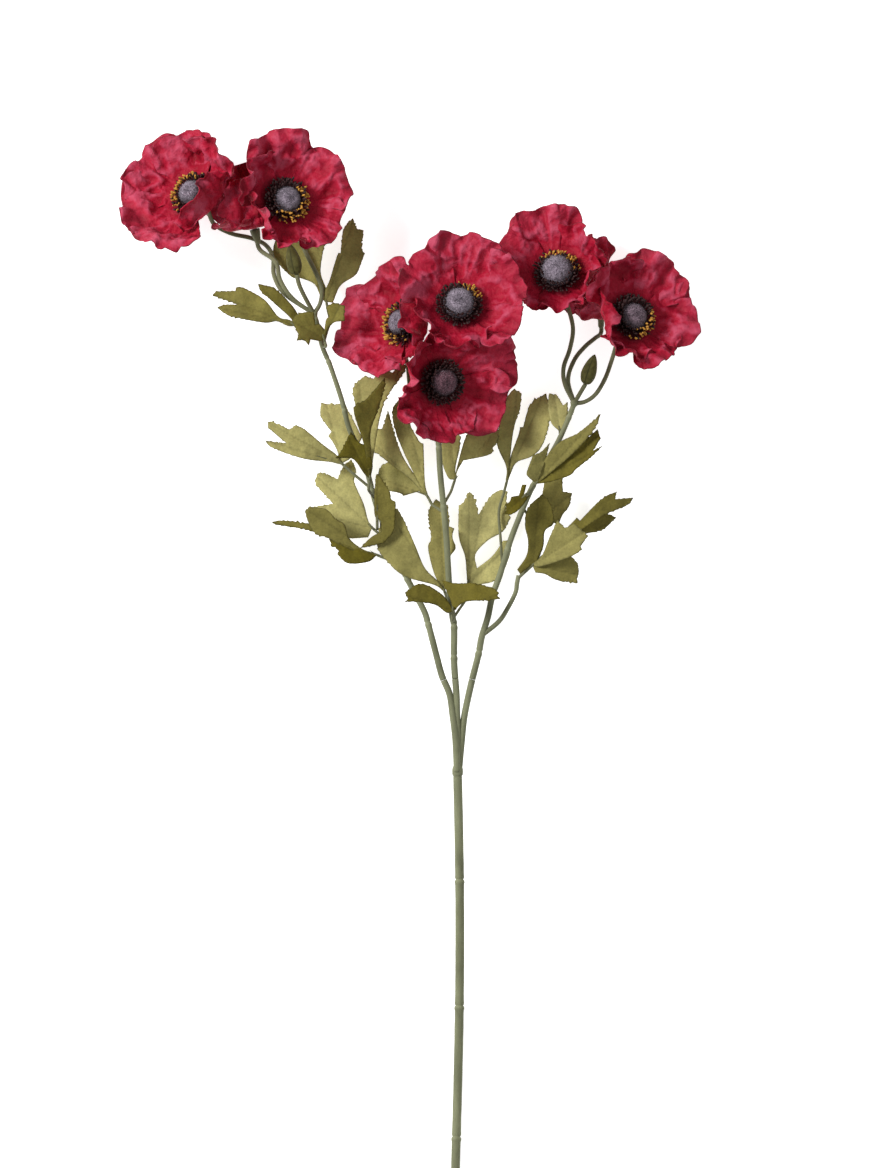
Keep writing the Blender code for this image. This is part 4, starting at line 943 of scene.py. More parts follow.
def make_eye(key, flower, sizes, material):
    """Make one flower's flocked eye."""
    _, _, face = flower_axes(flower)
    size = flower.get("size", 1.0) * flower.get("eye", 1.0)
    foot = flower_hub(flower) + face * (HUB_HEIGHT + GAP + DISC_HEIGHT + GAP)
    profile = smooth_profile([(r * EYE_RADIUS * size, h * EYE_HEIGHT * size) for r, h in EYE_OUTLINE], 7)
    shape = Shape()
    add_turned(shape, foot, face, profile, EYE_SIDES, EYE_LOBES, 0.012)
    fuzz = sizes.flock / MM
    centre = foot + face * (EYE_HEIGHT * size * 0.4)
    pile = []
    for i, p in enumerate(shape.points):
        out = (p - centre).normalized()
        rough = noise.noise(p * 1.1) + 0.8 * noise.noise(p * 2.3)
        shape.points[i] = p + out * (fuzz * rough)
        pile.append(rough)
    shape.values["pile"] = pile
    add_fibres(shape, centre, face, fuzz, random.Random(flower["seed"]))
    # How far out from the eye's middle each point lies; the finish paints shade towards the side with it
    reach = EYE_RADIUS * size
    side = []
    for p in shape.points:
        step = p - centre
        side.append((step - face * step.dot(face)).length / reach)
    shape.values["side"] = side
    shape.values["stain"] = [flower.get("eye_shade", 0.0)] * len(shape.points)
    piece = shape.build(f"eye_{key}", material)
    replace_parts(piece, f"flower_{key}_eye")


def add_fibres(shape, centre, face, fuzz, draw):
    """Stand short flock fibres on the surface that the shape has so far."""
    points = []
    faces = []
    pile = []
    surface = [p for p in shape.points if (p - centre).dot(face) > -0.3 * EYE_HEIGHT]
    for _ in range(FIBRES):
        root = surface[draw.randrange(len(surface))]
        out = (root - centre).normalized()
        lean = Vector((draw.uniform(-1, 1), draw.uniform(-1, 1), draw.uniform(-1, 1))) * 0.45
        tip = root + (out + lean).normalized() * (fuzz * draw.uniform(1.6, 3.6))
        side = out.orthogonal().normalized() * 0.13
        other = out.cross(side)
        first = len(points)
        points += [root + side, root - side * 0.5 + other, root - side * 0.5 - other, tip]
        faces += [(first, first + 1, first + 3), (first + 1, first + 2, first + 3),
                  (first + 2, first, first + 3), (first, first + 2, first + 1)]
        pale = draw.uniform(-0.4, 1.6)
        pile += [pale] * 4
    shape.add(points, faces, pile=pile)


# Leaves

class Blade:
    """One cloth blade of a leaf: where it is rooted, how it leans, arches and folds, and its cut edge."""

    def __init__(self, root, heading, spec, draw):
        self.tone, roll, tip, ribs, drawn = spec
        self.root = root
        self.rise = root + heading * (GAP + LEAF_STUB_LENGTH * 0.4)
        neck = self.rise.to_2d()
        self.tips = [Vector(tip[:2])] + [Vector(rib) for rib in ribs]
        self.along = (self.tips[0] - neck).normalized()
        self.length = (self.tips[0] - neck).length
        self.slope = (tip[2] - self.rise.z) / self.length
        self.side_slope = math.tan(math.radians(roll))
        self.arch = self.length * draw.uniform(0.04, 0.08)
        self.fold = draw.uniform(0.1, 0.22)
        across = Vector((-self.along.y, self.along.x)) * NECK_HALF_WIDTH
        if (Vector(drawn[0]) - Vector(drawn[-1])).dot(across) < 0:
            across.negate()
        self.outline = [neck + across] + [Vector(spot) for spot in drawn] + [neck - across]
        self.neck = neck

    def rib_place(self, spot):
        """Return the distance along the nearest rib and off it."""
        best = (0.0, 1e9)
        for tip in self.tips:
            rib = (tip - self.neck).normalized()
            step = spot - self.neck
            along = max(step.dot(rib), 0.0)
            off = (step - rib * along).length
            if off < best[1]:
                best = (along, off)
        return best

    def height(self, spot):
        """Return the height of the blade's middle over the table."""
        step = spot - self.neck
        u = step.dot(self.along)
        v = self.along.cross(step)
        lift = self.arch * math.sin(math.pi * min(max(u / self.length, 0.0), 1.0))
        return self.rise.z + self.slope * u + self.side_slope * v + lift + self.rib_place(spot)[1] * self.fold


def smooth_runs(corners):
    """Split an edge at its sharp corners and round the rest; return the runs of points."""
    runs = [[corners[0]]]
    for before, corner, after in zip(corners, corners[1:], corners[2:]):
        runs[-1].append(corner)
        if math.degrees((corner - before).angle(after - corner)) > SHARP_TURN:
            runs.append([corner])
    runs[-1].append(corners[-1])
    return [smooth_route([spot.to_3d() for spot in run], 6) for run in runs]


def turns_left(outline):
    """Tell whether an outline runs counter-clockwise."""
    return sum(a.cross(b) for a, b in zip(outline, outline[1:] + outline[:1])) > 0


def cut_edge(blade, sizes, seed):
    """Return a blade's cut edge, with coarse teeth that point to the tip on its outer part."""
    corners = blade.outline
    left = turns_left(corners)
    depth = sizes.tooth / MM
    far = max((corner - blade.neck).length for corner in corners)
    edge = []
    for number, run in enumerate(smooth_runs(corners)):
        span = route_length(run)
        count = max(2, round(span / EDGE_STEP))
        outward = (run[-1] - blade.neck.to_3d()).length > (run[0] - blade.neck.to_3d()).length
        for i in range(count):
            part = i / count
            spot = point_along(run, span * part)
            ahead = (point_along(run, span * (part + 0.5 / count)) - spot).to_2d().normalized()
            out = Vector((ahead.y, -ahead.x)) if left else Vector((-ahead.y, ahead.x))
            spot = spot.to_2d()
            grown = smoothstep(((spot - blade.neck).length / far - 0.45) * 3)
            grown *= math.sin(math.pi * part) ** 0.3
            steps = span * part / TOOTH_PITCH + 0.8 * noise.noise(Vector((part * 5, seed, number)))
            saw = steps % 1.0 if outward else 1 - steps % 1.0
            deep = 0.55 + 2.0 * noise.noise(Vector((math.floor(steps) * 1.7, seed, number)))
            lift = depth * grown * max(deep, 0.0) * (saw ** 1.4 - 0.35)
            lift += 0.16 * noise.noise(Vector((spot.x * 1.3, spot.y * 1.3, seed)))
            edge.append(spot + out * lift)
    edge.append(corners[-1])
    return edge


def inside(point, outline):
    """Tell whether a point lies inside an outline."""
    crossings = False
    for a, b in zip(outline, outline[1:] + outline[:1]):
        if (a.y > point.y) != (b.y > point.y):
            if point.x < (b.x - a.x) * (point.y - a.y) / (b.y - a.y) + a.x:
                crossings = not crossings
    return crossings


def blade_points(outline):
    """Return points spread evenly inside a blade's edge."""
    edge = KDTree(len(outline))
    for i, p in enumerate(outline):
        edge.insert(p.to_3d(), i)
    edge.balance()
    low = Vector((min(p.x for p in outline), min(p.y for p in outline)))
    high = Vector((max(p.x for p in outline), max(p.y for p in outline)))
    inner = []
    for i in range(int((high.y - low.y) / LEAF_MESH_STEP) + 1):
        for j in range(int((high.x - low.x) / LEAF_MESH_STEP) + 1):
            spot = low + Vector((j + 0.5 * (i % 2), i)) * LEAF_MESH_STEP
            if edge.find(spot.to_3d())[2] > LEAF_MESH_STEP * 0.55 and inside(spot, outline):
                inner.append(spot)
    return inner


def vein_marks(u, v):
    """Return how strongly the midrib and the side veins show at a place on a lobe."""
    middle = math.exp(-(v / MIDRIB_HALF_WIDTH) ** 2)
    across = (u - abs(v) * VEIN_SLANT) / VEIN_PITCH
    off = abs(across - round(across)) * VEIN_PITCH
    side = math.exp(-(off / VEIN_HALF_WIDTH) ** 2) * smoothstep(abs(v) / 1.5)
    return middle, side


def make_blade(shape, blade, seed, sizes):
    """Add one blade of a leaf as thin, cut and veined cloth."""
    outline = cut_edge(blade, sizes, seed)
    count = len(outline)
    rim = [(i, (i + 1) % count) for i in range(count)]
    spots, _, triangles, _, _, _ = delaunay_2d_cdt(outline + blade_points(outline), rim, [], 1, 1e-6)
    middle = []
    vein = []
    for p in spots:
        u, v = blade.rib_place(p)
        free = smoothstep(u / 9)
        bump = blade.height(p)
        bump += free * 1.3 * noise.noise(Vector((p.x * 0.09, p.y * 0.09, seed * 1.3)))
        bump += free * 0.45 * noise.noise(Vector((p.x * 0.3, p.y * 0.3, seed * 2.1)))
        rib, side = vein_marks(u, v)
        middle.append(Vector((p.x, p.y, bump - 0.4 * rib - 0.2 * side)))
        vein.append(max(rib, 0.5 * side))
    up = Vector((-blade.along.x * blade.slope + blade.along.y * blade.side_slope,
                 -blade.along.y * blade.slope - blade.along.x * blade.side_slope, 1)).normalized()
    half = sizes.leaf_thickness / MM / 2
    top = [p + up * half for p in middle]
    under = [p - up * half for p in middle]
    lower = len(spots)
    faces = []
    for a, b, c in triangles:
        faces.append((a, b, c))
        faces.append((a + lower, c + lower, b + lower))
    if not turns_left(outline):
        rim = [(b, a) for a, b in rim]
    for a, b in rim:
        faces.append((b, a, a + lower, b + lower))
    edge = [1.0 if i < count else 0.0 for i in range(lower)]
    shape.add(
        top + under, faces, vein=vein * 2, edge=edge * 2, tone=blade.tone,
        back=[0.0] * lower + [1.0] * lower)
    rib = []
    for t in (0.0, 0.1, 0.2, 0.3, 0.4, 0.5):
        spot = blade.neck + (blade.tips[0] - blade.neck) * t
        if t > 0.1 and not inside(spot, outline):
            break
        rib.append(Vector((spot.x, spot.y, blade.height(spot) - 0.75)))
    reach = route_length(rib)
    add_tube(shape, smooth_route(rib, 4), lambda d: MIDRIB_RADIUS * (1 - 0.85 * min(d / reach, 1.0)), 6,
             stalk=1.0)


def petiole_curve(carrier, joint_y, root, blades):
    """Return the leaf stalk's curve, which turns from its carrier to the leaf."""
    joint = min(carrier, key=lambda spot: abs(spot.y - joint_y))
    root = Vector(root)
    middle = sum((Vector(blade[2]) for blade in blades), Vector()) / len(blades)
    heading = (middle - root).normalized()
    reach = (root - joint).length
    bend = root - heading * (0.35 * reach)
    return smooth_route([joint, (joint + bend) * 0.5, bend, root - heading * (0.12 * reach), root]), heading


def make_leaf(name, spec, number, carriers, sizes, material):
    """Make one cloth leaf of several blades with the end of its stalk."""
    carrier, joint_y, root, blades = spec
    root = Vector(root)
    _, heading = petiole_curve(carriers[carrier], joint_y, root, blades)
    start = root + heading * GAP
    shape = Shape()
    stub = [start + heading * reach for reach in (-0.4, 1.4, LEAF_STUB_LENGTH + 1)]
    add_tube(shape, smooth_route(stub), lambda d: 1.0 - 0.1 * d, 10, stalk=1.0)
    for k, drawn in enumerate(blades):
        seed = number * 10 + k
        make_blade(shape, Blade(root, heading, drawn, random.Random(seed)), seed, sizes)
    piece = shape.build(f"cloth_{name}", material)
    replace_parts(piece, name)


# Finishes

class Finish:
    """A node tree being wired for one material."""

    def __init__(self, name):
        self.material = bpy.data.materials.new(name)
        self.material.use_nodes = True
        self.tree = self.material.node_tree
        self.shader = self.tree.nodes["Principled BSDF"]

    def node(self, kind, **inputs):
        """Add a node; a keyword is an input's name with _ for a space, and its value or a socket."""
        made = self.tree.nodes.new(kind)
        for name, value in inputs.items():
            self.put(made.inputs[name.replace("_", " ")], value)
        return made

    def put(self, socket, value):
        """Set a socket, or link it where the value is another socket."""
        if isinstance(value, bpy.types.NodeSocket):
            self.tree.links.new(value, socket)
        else:
            socket.default_value = value

    def value(self, name):
        """Read one of the mesh's per-point values."""
        made = self.tree.nodes.new("ShaderNodeAttribute")
        made.attribute_name = name
        return made.outputs["Fac"]

    def mix(self, factor, first, second, kind="MIX"):
        """Mix two colours."""
        made = self.tree.nodes.new("ShaderNodeMix")
        made.data_type = "RGBA"
        made.blend_type = kind
        self.put(made.inputs[0], factor)
        self.put(made.inputs[6], first)
        self.put(made.inputs[7], second)
        return made.outputs[2]

    def shaded(self, colour, value):
        """Multiply a colour by a value."""
        return self.mix(1.0, colour, self.grey(value), "MULTIPLY")

    def scaled(self, value, low, high, to_low=0.0, to_high=1.0):
        """Map a value from one range to another, held at the ends."""
        made = self.node("ShaderNodeMapRange", Value=value, From_Min=low, From_Max=high, To_Min=to_low,
                         To_Max=to_high)
        return made.outputs["Result"]

    def grey(self, value):
        """Turn a value into a grey."""
        made = self.tree.nodes.new("ShaderNodeCombineColor")
        for socket in made.inputs[:3]:
            self.put(socket, value)
        return made.outputs[0]

    def grain(self, scale, detail=3.0, rough=0.55, stretch=(1, 1, 1)):
        """Return a noise that follows the object, with its scale given per millimetre."""
        spot = self.tree.nodes.new("ShaderNodeTexCoord")
        sized = self.node("ShaderNodeMapping", Vector=spot.outputs["Object"])
        sized.inputs["Scale"].default_value = [s * scale / MM for s in stretch]
        made = self.node("ShaderNodeTexNoise", Vector=sized.outputs["Vector"], Scale=1.0, Detail=detail,
                         Roughness=rough)
        return made.outputs["Fac"]

    def sum(self, first, second, weight=1.0):
        """Add a weighted value to another."""
        made = self.node("ShaderNodeMath")
        made.operation = "MULTIPLY_ADD"
        self.put(made.inputs[0], second)
        made.inputs[1].default_value = weight
        self.put(made.inputs[2], first)
        return made.outputs[0]

    def bump(self, height, depth, strength=1.0):
        """Let a height in millimetres stand out of the surface."""
        made = self.node("ShaderNodeBump", Height=height, Strength=strength, Distance=depth * MM)
        self.put(self.shader.inputs["Normal"], made.outputs["Normal"])

    def colour(self, value):
        """Set or link the base colour."""
        self.put(self.shader.inputs["Base Color"], value)

    def surface(self, **values):
        """Set plain shader values."""
        for name, value in values.items():
            self.shader.inputs[name.replace("_", " ")].default_value = value


def rgba(colour, light=1.0):
    """Return a colour, made lighter or darker, with full cover."""
    return (colour[0] * light, colour[1] * light, colour[2] * light, 1.0)


def petal_cloth(colours):
    """Crimped crimson cloth: painted highlight in pink on the ridges and crinkles, painted shade deep in the
    folds, dark at the heat-cut rim.
    """
    finish = Finish("petal_cloth")
    blotch = finish.grain(0.16, 4.0, 0.6)
    crinkle = finish.grain(0.2, 2.0, 0.5)
    # Painted shade and highlight: the pressed relief and the crinkles, over a random blotch, make the cloth
    # deep in the folds and pink on the ridges
    height = finish.sum(finish.sum(finish.value("pressed"), blotch, 1.0), crinkle, 2.6)
    low = finish.scaled(height, 0.6, 2.4)
    high = finish.scaled(height, 2.2, 3.4, 0.0, 0.9)
    base = finish.mix(low, rgba(colours.petal_deep), rgba(colours.petal_mid))
    base = finish.mix(high, base, rgba(colours.petal_light))
    dyed = finish.sum(finish.value("out"), finish.grain(0.12, 3.0), 9.0)
    pale = finish.scaled(dyed, 32, 48, 0.0, 0.2)
    base = finish.mix(pale, base, rgba(colours.petal_light))
    wide = finish.scaled(dyed, HEART_RADIUS + 5, HEART_RADIUS + 22, 0.5, 0.0)
    base = finish.mix(wide, base, rgba(colours.petal_deep))
    root = finish.scaled(dyed, HEART_RADIUS + 5, HEART_RADIUS + 12.5, 0.95, 0.0)
    base = finish.mix(root, base, rgba(colours.petal_heart))
    outer = finish.scaled(finish.value("out"), 20, 34, 0.1, 0.85)
    rim = finish.scaled(finish.value("rim"), 0.35, 1.0, 0.0, outer)
    base = finish.mix(rim, base, rgba(colours.petal_rim))
    finish.colour(base)
    weave = finish.grain(2.2, 2.0, 0.5, (1.0, 0.35, 1.0))
    pile = finish.sum(finish.grain(0.55, 3.0), weave, 0.5)
    finish.bump(finish.sum(pile, crinkle, 8.0), 0.35, 0.7)
    finish.surface(Roughness=0.6, Specular_IOR_Level=0.16, Sheen_Weight=0.1, Sheen_Roughness=0.35,
                   Sheen_Tint=(1.0, 0.3, 0.42, 1.0))
    return finish.material


def stamen_thread(colours):
    """Near-black stiffened thread, some heads dusted with gold."""
    finish = Finish("stamen_thread")
    dust = finish.scaled(finish.grain(1.4, 2.0), 0.35, 0.6)
    dark = finish.mix(dust, rgba(colours.stamen), rgba(colours.stamen, 2.2))
    gold = finish.mix(dust, rgba(colours.gold, 0.55), rgba(colours.gold))
    finish.colour(finish.mix(finish.value("gold"), dark, gold))
    finish.bump(finish.grain(2.0, 2.0), 0.2, 0.7)
    finish.surface(Roughness=0.6, Specular_IOR_Level=0.35)
    return finish.material


def eye_flock(colours):
    """Grey-lilac speckled flock, pale in the middle and darker at the side, partly its own colour and partly
    painted shade where the eye curves under; stained red in some flowers.
    """
    finish = Finish("eye_flock")
    speckle = finish.grain(1.3, 3.0, 0.7)
    pile = finish.sum(speckle, finish.value("pile"), 0.18)
    pile = finish.sum(pile, finish.grain(0.25, 2.0), 0.5)
    dark = finish.scaled(pile, 0.5, 0.85)
    shade = rgba(colours.eye, 0.3)
    base = finish.mix(dark, shade, rgba(colours.eye))
    pale = finish.scaled(pile, 0.75, 1.0, 0.0, 0.7)
    base = finish.mix(pale, base, rgba(colours.eye, 1.9))
    # Painted shade: the flock darkens towards the side, where the eye curves under, over a darker colour of
    # its own there
    side = finish.scaled(finish.value("side"), 0.55, 1.05, 0.0, 0.85)
    base = finish.mix(side, base, rgba(colours.eye, 0.22))
    stained = finish.mix(1.0, base, rgba(colours.eye_stain), "MULTIPLY")
    finish.colour(finish.mix(finish.value("stain"), base, stained))
    finish.bump(pile, 0.5, 0.8)
    finish.surface(Roughness=0.95, Specular_IOR_Level=0.1, Sheen_Weight=0.35, Sheen_Roughness=0.5,
                   Sheen_Tint=(0.9, 0.85, 0.95, 1.0))
    return finish.material


def stem_plastic(colours):
    """Matt grey-green plastic with a mottled, faintly streaked skin; stalks are darker."""
    finish = Finish("stem_plastic")
    mottle = finish.grain(0.12, 4.0, 0.6, (1.0, 0.35, 1.0))
    light = rgba(colours.stem, 1.18)
    shade = rgba(colours.stem, 0.72)
    base = finish.mix(finish.scaled(mottle, 0.3, 0.7), shade, light)
    dark = finish.mix(finish.scaled(mottle, 0.3, 0.7), rgba(colours.stalk, 0.75), rgba(colours.stalk, 1.2))
    base = finish.mix(finish.value("stalk"), base, dark)
    finish.colour(finish.mix(finish.value("neck"), base, rgba(colours.stem, 1.25)))
    finish.bump(finish.grain(0.9, 3.0, 0.6, (1.0, 0.25, 1.0)), 0.2, 0.5)
    finish.surface(Roughness=0.65, Specular_IOR_Level=0.2)
    return finish.material


def bud_wax(colours):
    """Dull olive wax, darker along the grooves between its lobes."""
    finish = Finish("bud_wax")
    mottle = finish.scaled(finish.grain(0.35, 3.0), 0.3, 0.7)
    base = finish.mix(mottle, rgba(colours.bud, 0.7), rgba(colours.bud, 1.35))
    finish.colour(finish.mix(finish.value("seam"), base, rgba(colours.bud, 0.4)))
    finish.bump(finish.grain(0.8, 3.0), 0.5, 0.9)
    finish.surface(Roughness=0.75, Specular_IOR_Level=0.2)
    return finish.material


def leaf_cloth(colours):
    """Printed olive cloth, from dark to light by lobe, partly by its print and partly as painted light and
    shade, with veins, a fine weave and a darker cut edge.
    """
    finish = Finish("leaf_cloth")
    # Painted light and shade with the print: each lobe's value mixes the print's olive with how lit or shaded
    # the lobe lay
    cloth = finish.mix(finish.value("tone"), rgba(colours.leaf_dark), rgba(colours.leaf_light))
    blotch = finish.scaled(finish.grain(0.07, 4.0, 0.62), 0.28, 0.72, 0.72, 1.2)
    cloth = finish.shaded(cloth, blotch)
    speck = finish.scaled(finish.grain(0.8, 3.0, 0.7), 0.4, 0.75, 1.08, 0.8)
    cloth = finish.shaded(cloth, speck)
    back = finish.scaled(finish.value("back"), 0.0, 1.0, 1.0, 0.85)
    cloth = finish.shaded(cloth, back)
    vein = finish.scaled(finish.value("vein"), 0.3, 1.0, 1.0, 0.7)
    cloth = finish.shaded(cloth, vein)
    edge = finish.scaled(finish.value("edge"), 0.5, 1.0, 1.0, 0.6)
    cloth = finish.shaded(cloth, edge)
    finish.colour(finish.mix(finish.value("stalk"), cloth, rgba(colours.stalk)))
    weave = finish.grain(2.6, 1.0, 0.5, (1.0, 0.3, 1.0))
    finish.bump(finish.sum(finish.grain(0.6, 3.0), weave, 0.6), 0.25, 0.6)
    finish.surface(Roughness=0.75, Specular_IOR_Level=0.14, Sheen_Weight=0.04, Sheen_Roughness=0.5)
    return finish.material


def named_material(name, maker, *values):
    """Return a material by name, making it on first use."""
    found = bpy.data.materials.get(name)
    return found if found else maker(*values)


# Operators

class POPPY_OT_main_stem(bpy.types.Operator):
    """Make the segmented main stem and the moulded fork."""
    bl_idname = "poppy.main_stem"
    bl_label = "Main stem and fork"

    def execute(self, context):
        material = named_material("stem_plastic", stem_plastic, context.scene.poppy_colours)
        curve = []
        for i in range(STEM_STEPS + 1):
            y = STEM_CUT_Y + (STEM_TOP_Y - STEM_CUT_Y) * i / STEM_STEPS
            sway = STEM_SWAY * math.sin(math.pi * max(y, 0) / STEM_SWAY_LENGTH)
            rise = STEM_RISE * smoothstep((y - STEM_FLAT_Y) / (STEM_TOP_Y - STEM_FLAT_Y))
            curve.append(Vector((sway, y, FLAT_APOTHEM + rise)))
        marks = [y - STEM_CUT_Y for y in STEM_JOINTS_Y]
        shape = Shape()
        length = route_length(curve) - GAP
        count = round(length / JOINT_STEP)
        stations = [(length * i / count, STEM_RADIUS * joint_swell(length * i / count, marks, 1.0))
                    for i in range(count + 1)]
        points = tube_points(curve, stations, STEM_SIDES)
        for p in points:
            p.z = max(p.z, 0.0)
        neck = [joint_mark(distance, marks) for distance, _ in stations for _ in range(STEM_SIDES)]
        shape.add(points, ring_faces(count + 1, STEM_SIDES), stalk=0.0, neck=neck)
        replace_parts(shape.build("plastic_main_stem", material), "main_stem")
        self.make_fork(material)
        return {"FINISHED"}

    def make_fork(self, material):
        """Make the collar and the three arms of the fork."""
        shape = Shape()
        foot = Vector((STEM_SWAY * math.sin(math.pi * STEM_TOP_Y / STEM_SWAY_LENGTH), STEM_TOP_Y + GAP,
                       FLAT_APOTHEM + STEM_RISE))
        outline = [(STEM_RADIUS * 0.97, -GAP * 1.9), (STEM_RADIUS, 0.2), (COLLAR_RADIUS, 1.2),
                   (COLLAR_RADIUS, COLLAR_LENGTH - 2.5), (COLLAR_RADIUS * 0.75, COLLAR_LENGTH)]
        add_turned(shape, foot, Vector((0, 1, 0)), smooth_profile(outline, 4), COLLAR_SIDES,
                   stalk=0.0, neck=0.0)
        for trunk in TRUNKS.values():
            curve = smooth_route(trunk["route"])
            stations = [(FORK_REACH * i / FORK_STEPS, BRANCH_FOOT_RADIUS + 0.1 - 0.1 * i / FORK_STEPS)
                        for i in range(FORK_STEPS + 1)]
            arm = tube_points(curve, stations, BRANCH_SIDES)
            shape.add(arm, ring_faces(FORK_STEPS + 1, BRANCH_SIDES), stalk=0.0)
        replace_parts(shape.build("plastic_fork", material), "stem_fork")


class POPPY_OT_branches(bpy.types.Operator):
    """Make each branch with its flower stalks, calyxes, bud stalk and leaf stalks."""
    bl_idname = "poppy.branches"
    bl_label = "Branches and stalks"

    def execute(self, context):
        material = named_material("stem_plastic", stem_plastic, context.scene.poppy_colours)
        carriers = carrier_curves()
        for name, trunk in TRUNKS.items():
            shape = Shape()
            self.make_trunk(shape, carriers[name], trunk)
            end = carriers[name][-1]
            if name == "right_branch":
                add_tube(shape, carriers["twig"], lambda d: TWIG_RADIUS * (1.1 - 0.002 * d), TWIG_SIDES,
                         stalk=0.25)
            for owner, key, points in PEDICELS:
                if owner == name:
                    self.make_pedicel(shape, FLOWERS[key], end, points)
            for owner, _, points, _ in BUDS:
                if owner == name:
                    curve = smooth_route([end] + points)
                    add_tube(shape, curve, lambda d: PEDICEL_RADIUS, PEDICEL_SIDES, stalk=1.0)
            for spec in LEAVES.values():
                if spec[0] == name or (spec[0] == "twig" and name == "right_branch"):
                    curve, _ = petiole_curve(carriers[spec[0]], spec[1], spec[2], spec[3])
                    add_tube(shape, curve, lambda d: PETIOLE_RADIUS * 1.1, PETIOLE_SIDES, stalk=0.8)
            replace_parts(shape.build(f"plastic_{name}", material), name)
        return {"FINISHED"}

    def make_trunk(self, shape, curve, trunk):
        """Add the branch itself, thinner towards its tip, with a knot where the stalks start."""
        start = FORK_REACH + GAP
        length = route_length(curve)
        count = round((length - start) / JOINT_STEP)
        tip = trunk["tip_radius"]
        stations = []
        neck = []
        for i in range(count + 1):
            distance = start + (length - start) * i / count
            radius = BRANCH_FOOT_RADIUS + (tip - BRANCH_FOOT_RADIUS) * i / count
            stations.append((distance, radius * joint_swell(distance, trunk["joints"], radius)))
            neck += [joint_mark(distance, trunk["joints"])] * BRANCH_SIDES
        fade = [0.35 * i / count for i in range(count + 1) for _ in range(BRANCH_SIDES)]
        points = tube_points(curve, stations, BRANCH_SIDES)
        shape.add(points, ring_faces(count + 1, BRANCH_SIDES), neck=neck, stalk=fade)
        knot = smooth_profile([(tip * 0.9, -2.6), (tip * 1.3, -1.2), (tip * 1.65, 0), (tip * 1.3, 1.2),
                               (tip * 0.8, 2.6)], 4)
        add_turned(shape, curve[-1], curve[-1] - curve[-3], knot, KNOT_SIDES, stalk=0.3)

    def make_pedicel(self, shape, flower, end, points):
        """Add one flower's stalk and its calyx."""
        hub = flower_hub(flower)
        _, _, face = flower_axes(flower)
        foot = hub - face * (CALYX_DEPTH + 5)
        curve = smooth_route([end] + points + [foot, hub - face * (CALYX_DEPTH * 0.6)])
        add_tube(shape, curve, lambda d: PEDICEL_RADIUS * (1 + 0.06 * noise.noise(Vector((d * 0.2, 0, 0)))),
                 PEDICEL_SIDES, stalk=0.9)
        wide = CALYX_RADIUS * flower.get("size", 1.0)
        outline = [(1.3, -1.2), (1.9, 0), (wide * 0.75, CALYX_DEPTH * 0.35), (wide * 0.95, CALYX_DEPTH * 0.7),
                   (wide, CALYX_DEPTH - GAP)]
        add_turned(shape, hub - face * CALYX_DEPTH, face, smooth_profile(outline, 5), CALYX_SIDES,
                   CALYX_LOBES, 0.05, stalk=0.8)


class POPPY_OT_buds(bpy.types.Operator):
    """Make the two closed buds."""
    bl_idname = "poppy.buds"
    bl_label = "Buds"

    def execute(self, context):
        material = named_material("bud_wax", bud_wax, context.scene.poppy_colours)
        for _, name, points, tip in BUDS:
            top = Vector(points[-1])
            heading = (Vector(tip) - top).normalized()
            profile = smooth_profile([(r * BUD_RADIUS, h * BUD_LENGTH) for r, h in BUD_OUTLINE], 5)
            shape = Shape()
            add_turned(shape, top + heading * GAP, heading, profile, BUD_SIDES, BUD_LOBES, 0.05)
            # Darker along the grooves between the lobes, where the lobed outline is narrowest
            waves = [math.cos(BUD_LOBES * 2 * math.pi * k / BUD_SIDES) for k in range(BUD_SIDES)]
            shape.values["seam"] = [smoothstep((-wave - 0.9) * 10) for wave in waves] * len(profile)
            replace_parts(shape.build(f"wax_{name}", material), name)
        return {"FINISHED"}


class POPPY_OT_petals(bpy.types.Operator):
    """Make the crimped cloth petals of every flower."""
    bl_idname = "poppy.petals"
    bl_label = "Petals"

    def execute(self, context):
        material = named_material("petal_cloth", petal_cloth, context.scene.poppy_colours)
        for key, flower in FLOWERS.items():
            make_petals(key, flower, context.scene.poppy_sizes, material)
        return {"FINISHED"}


class POPPY_OT_hearts(bpy.types.Operator):
    """Make the stamens and the flocked eye of every flower."""
    bl_idname = "poppy.hearts"
    bl_label = "Stamens and eyes"

    def execute(self, context):
        thread = named_material("stamen_thread", stamen_thread, context.scene.poppy_colours)
        flock = named_material("eye_flock", eye_flock, context.scene.poppy_colours)
        for key, flower in FLOWERS.items():
            make_stamens(key, flower, context.scene.poppy_sizes, thread)
            make_eye(key, flower, context.scene.poppy_sizes, flock)
        return {"FINISHED"}


class POPPY_OT_leaves(bpy.types.Operator):
    """Make the cut cloth leaves."""
    bl_idname = "poppy.leaves"
    bl_label = "Leaves"

    def execute(self, context):
        carriers = carrier_curves()
        material = named_material("leaf_cloth", leaf_cloth, context.scene.poppy_colours)
        for number, (name, spec) in enumerate(LEAVES.items()):
            make_leaf(name, spec, number, carriers, context.scene.poppy_sizes, material)
        return {"FINISHED"}


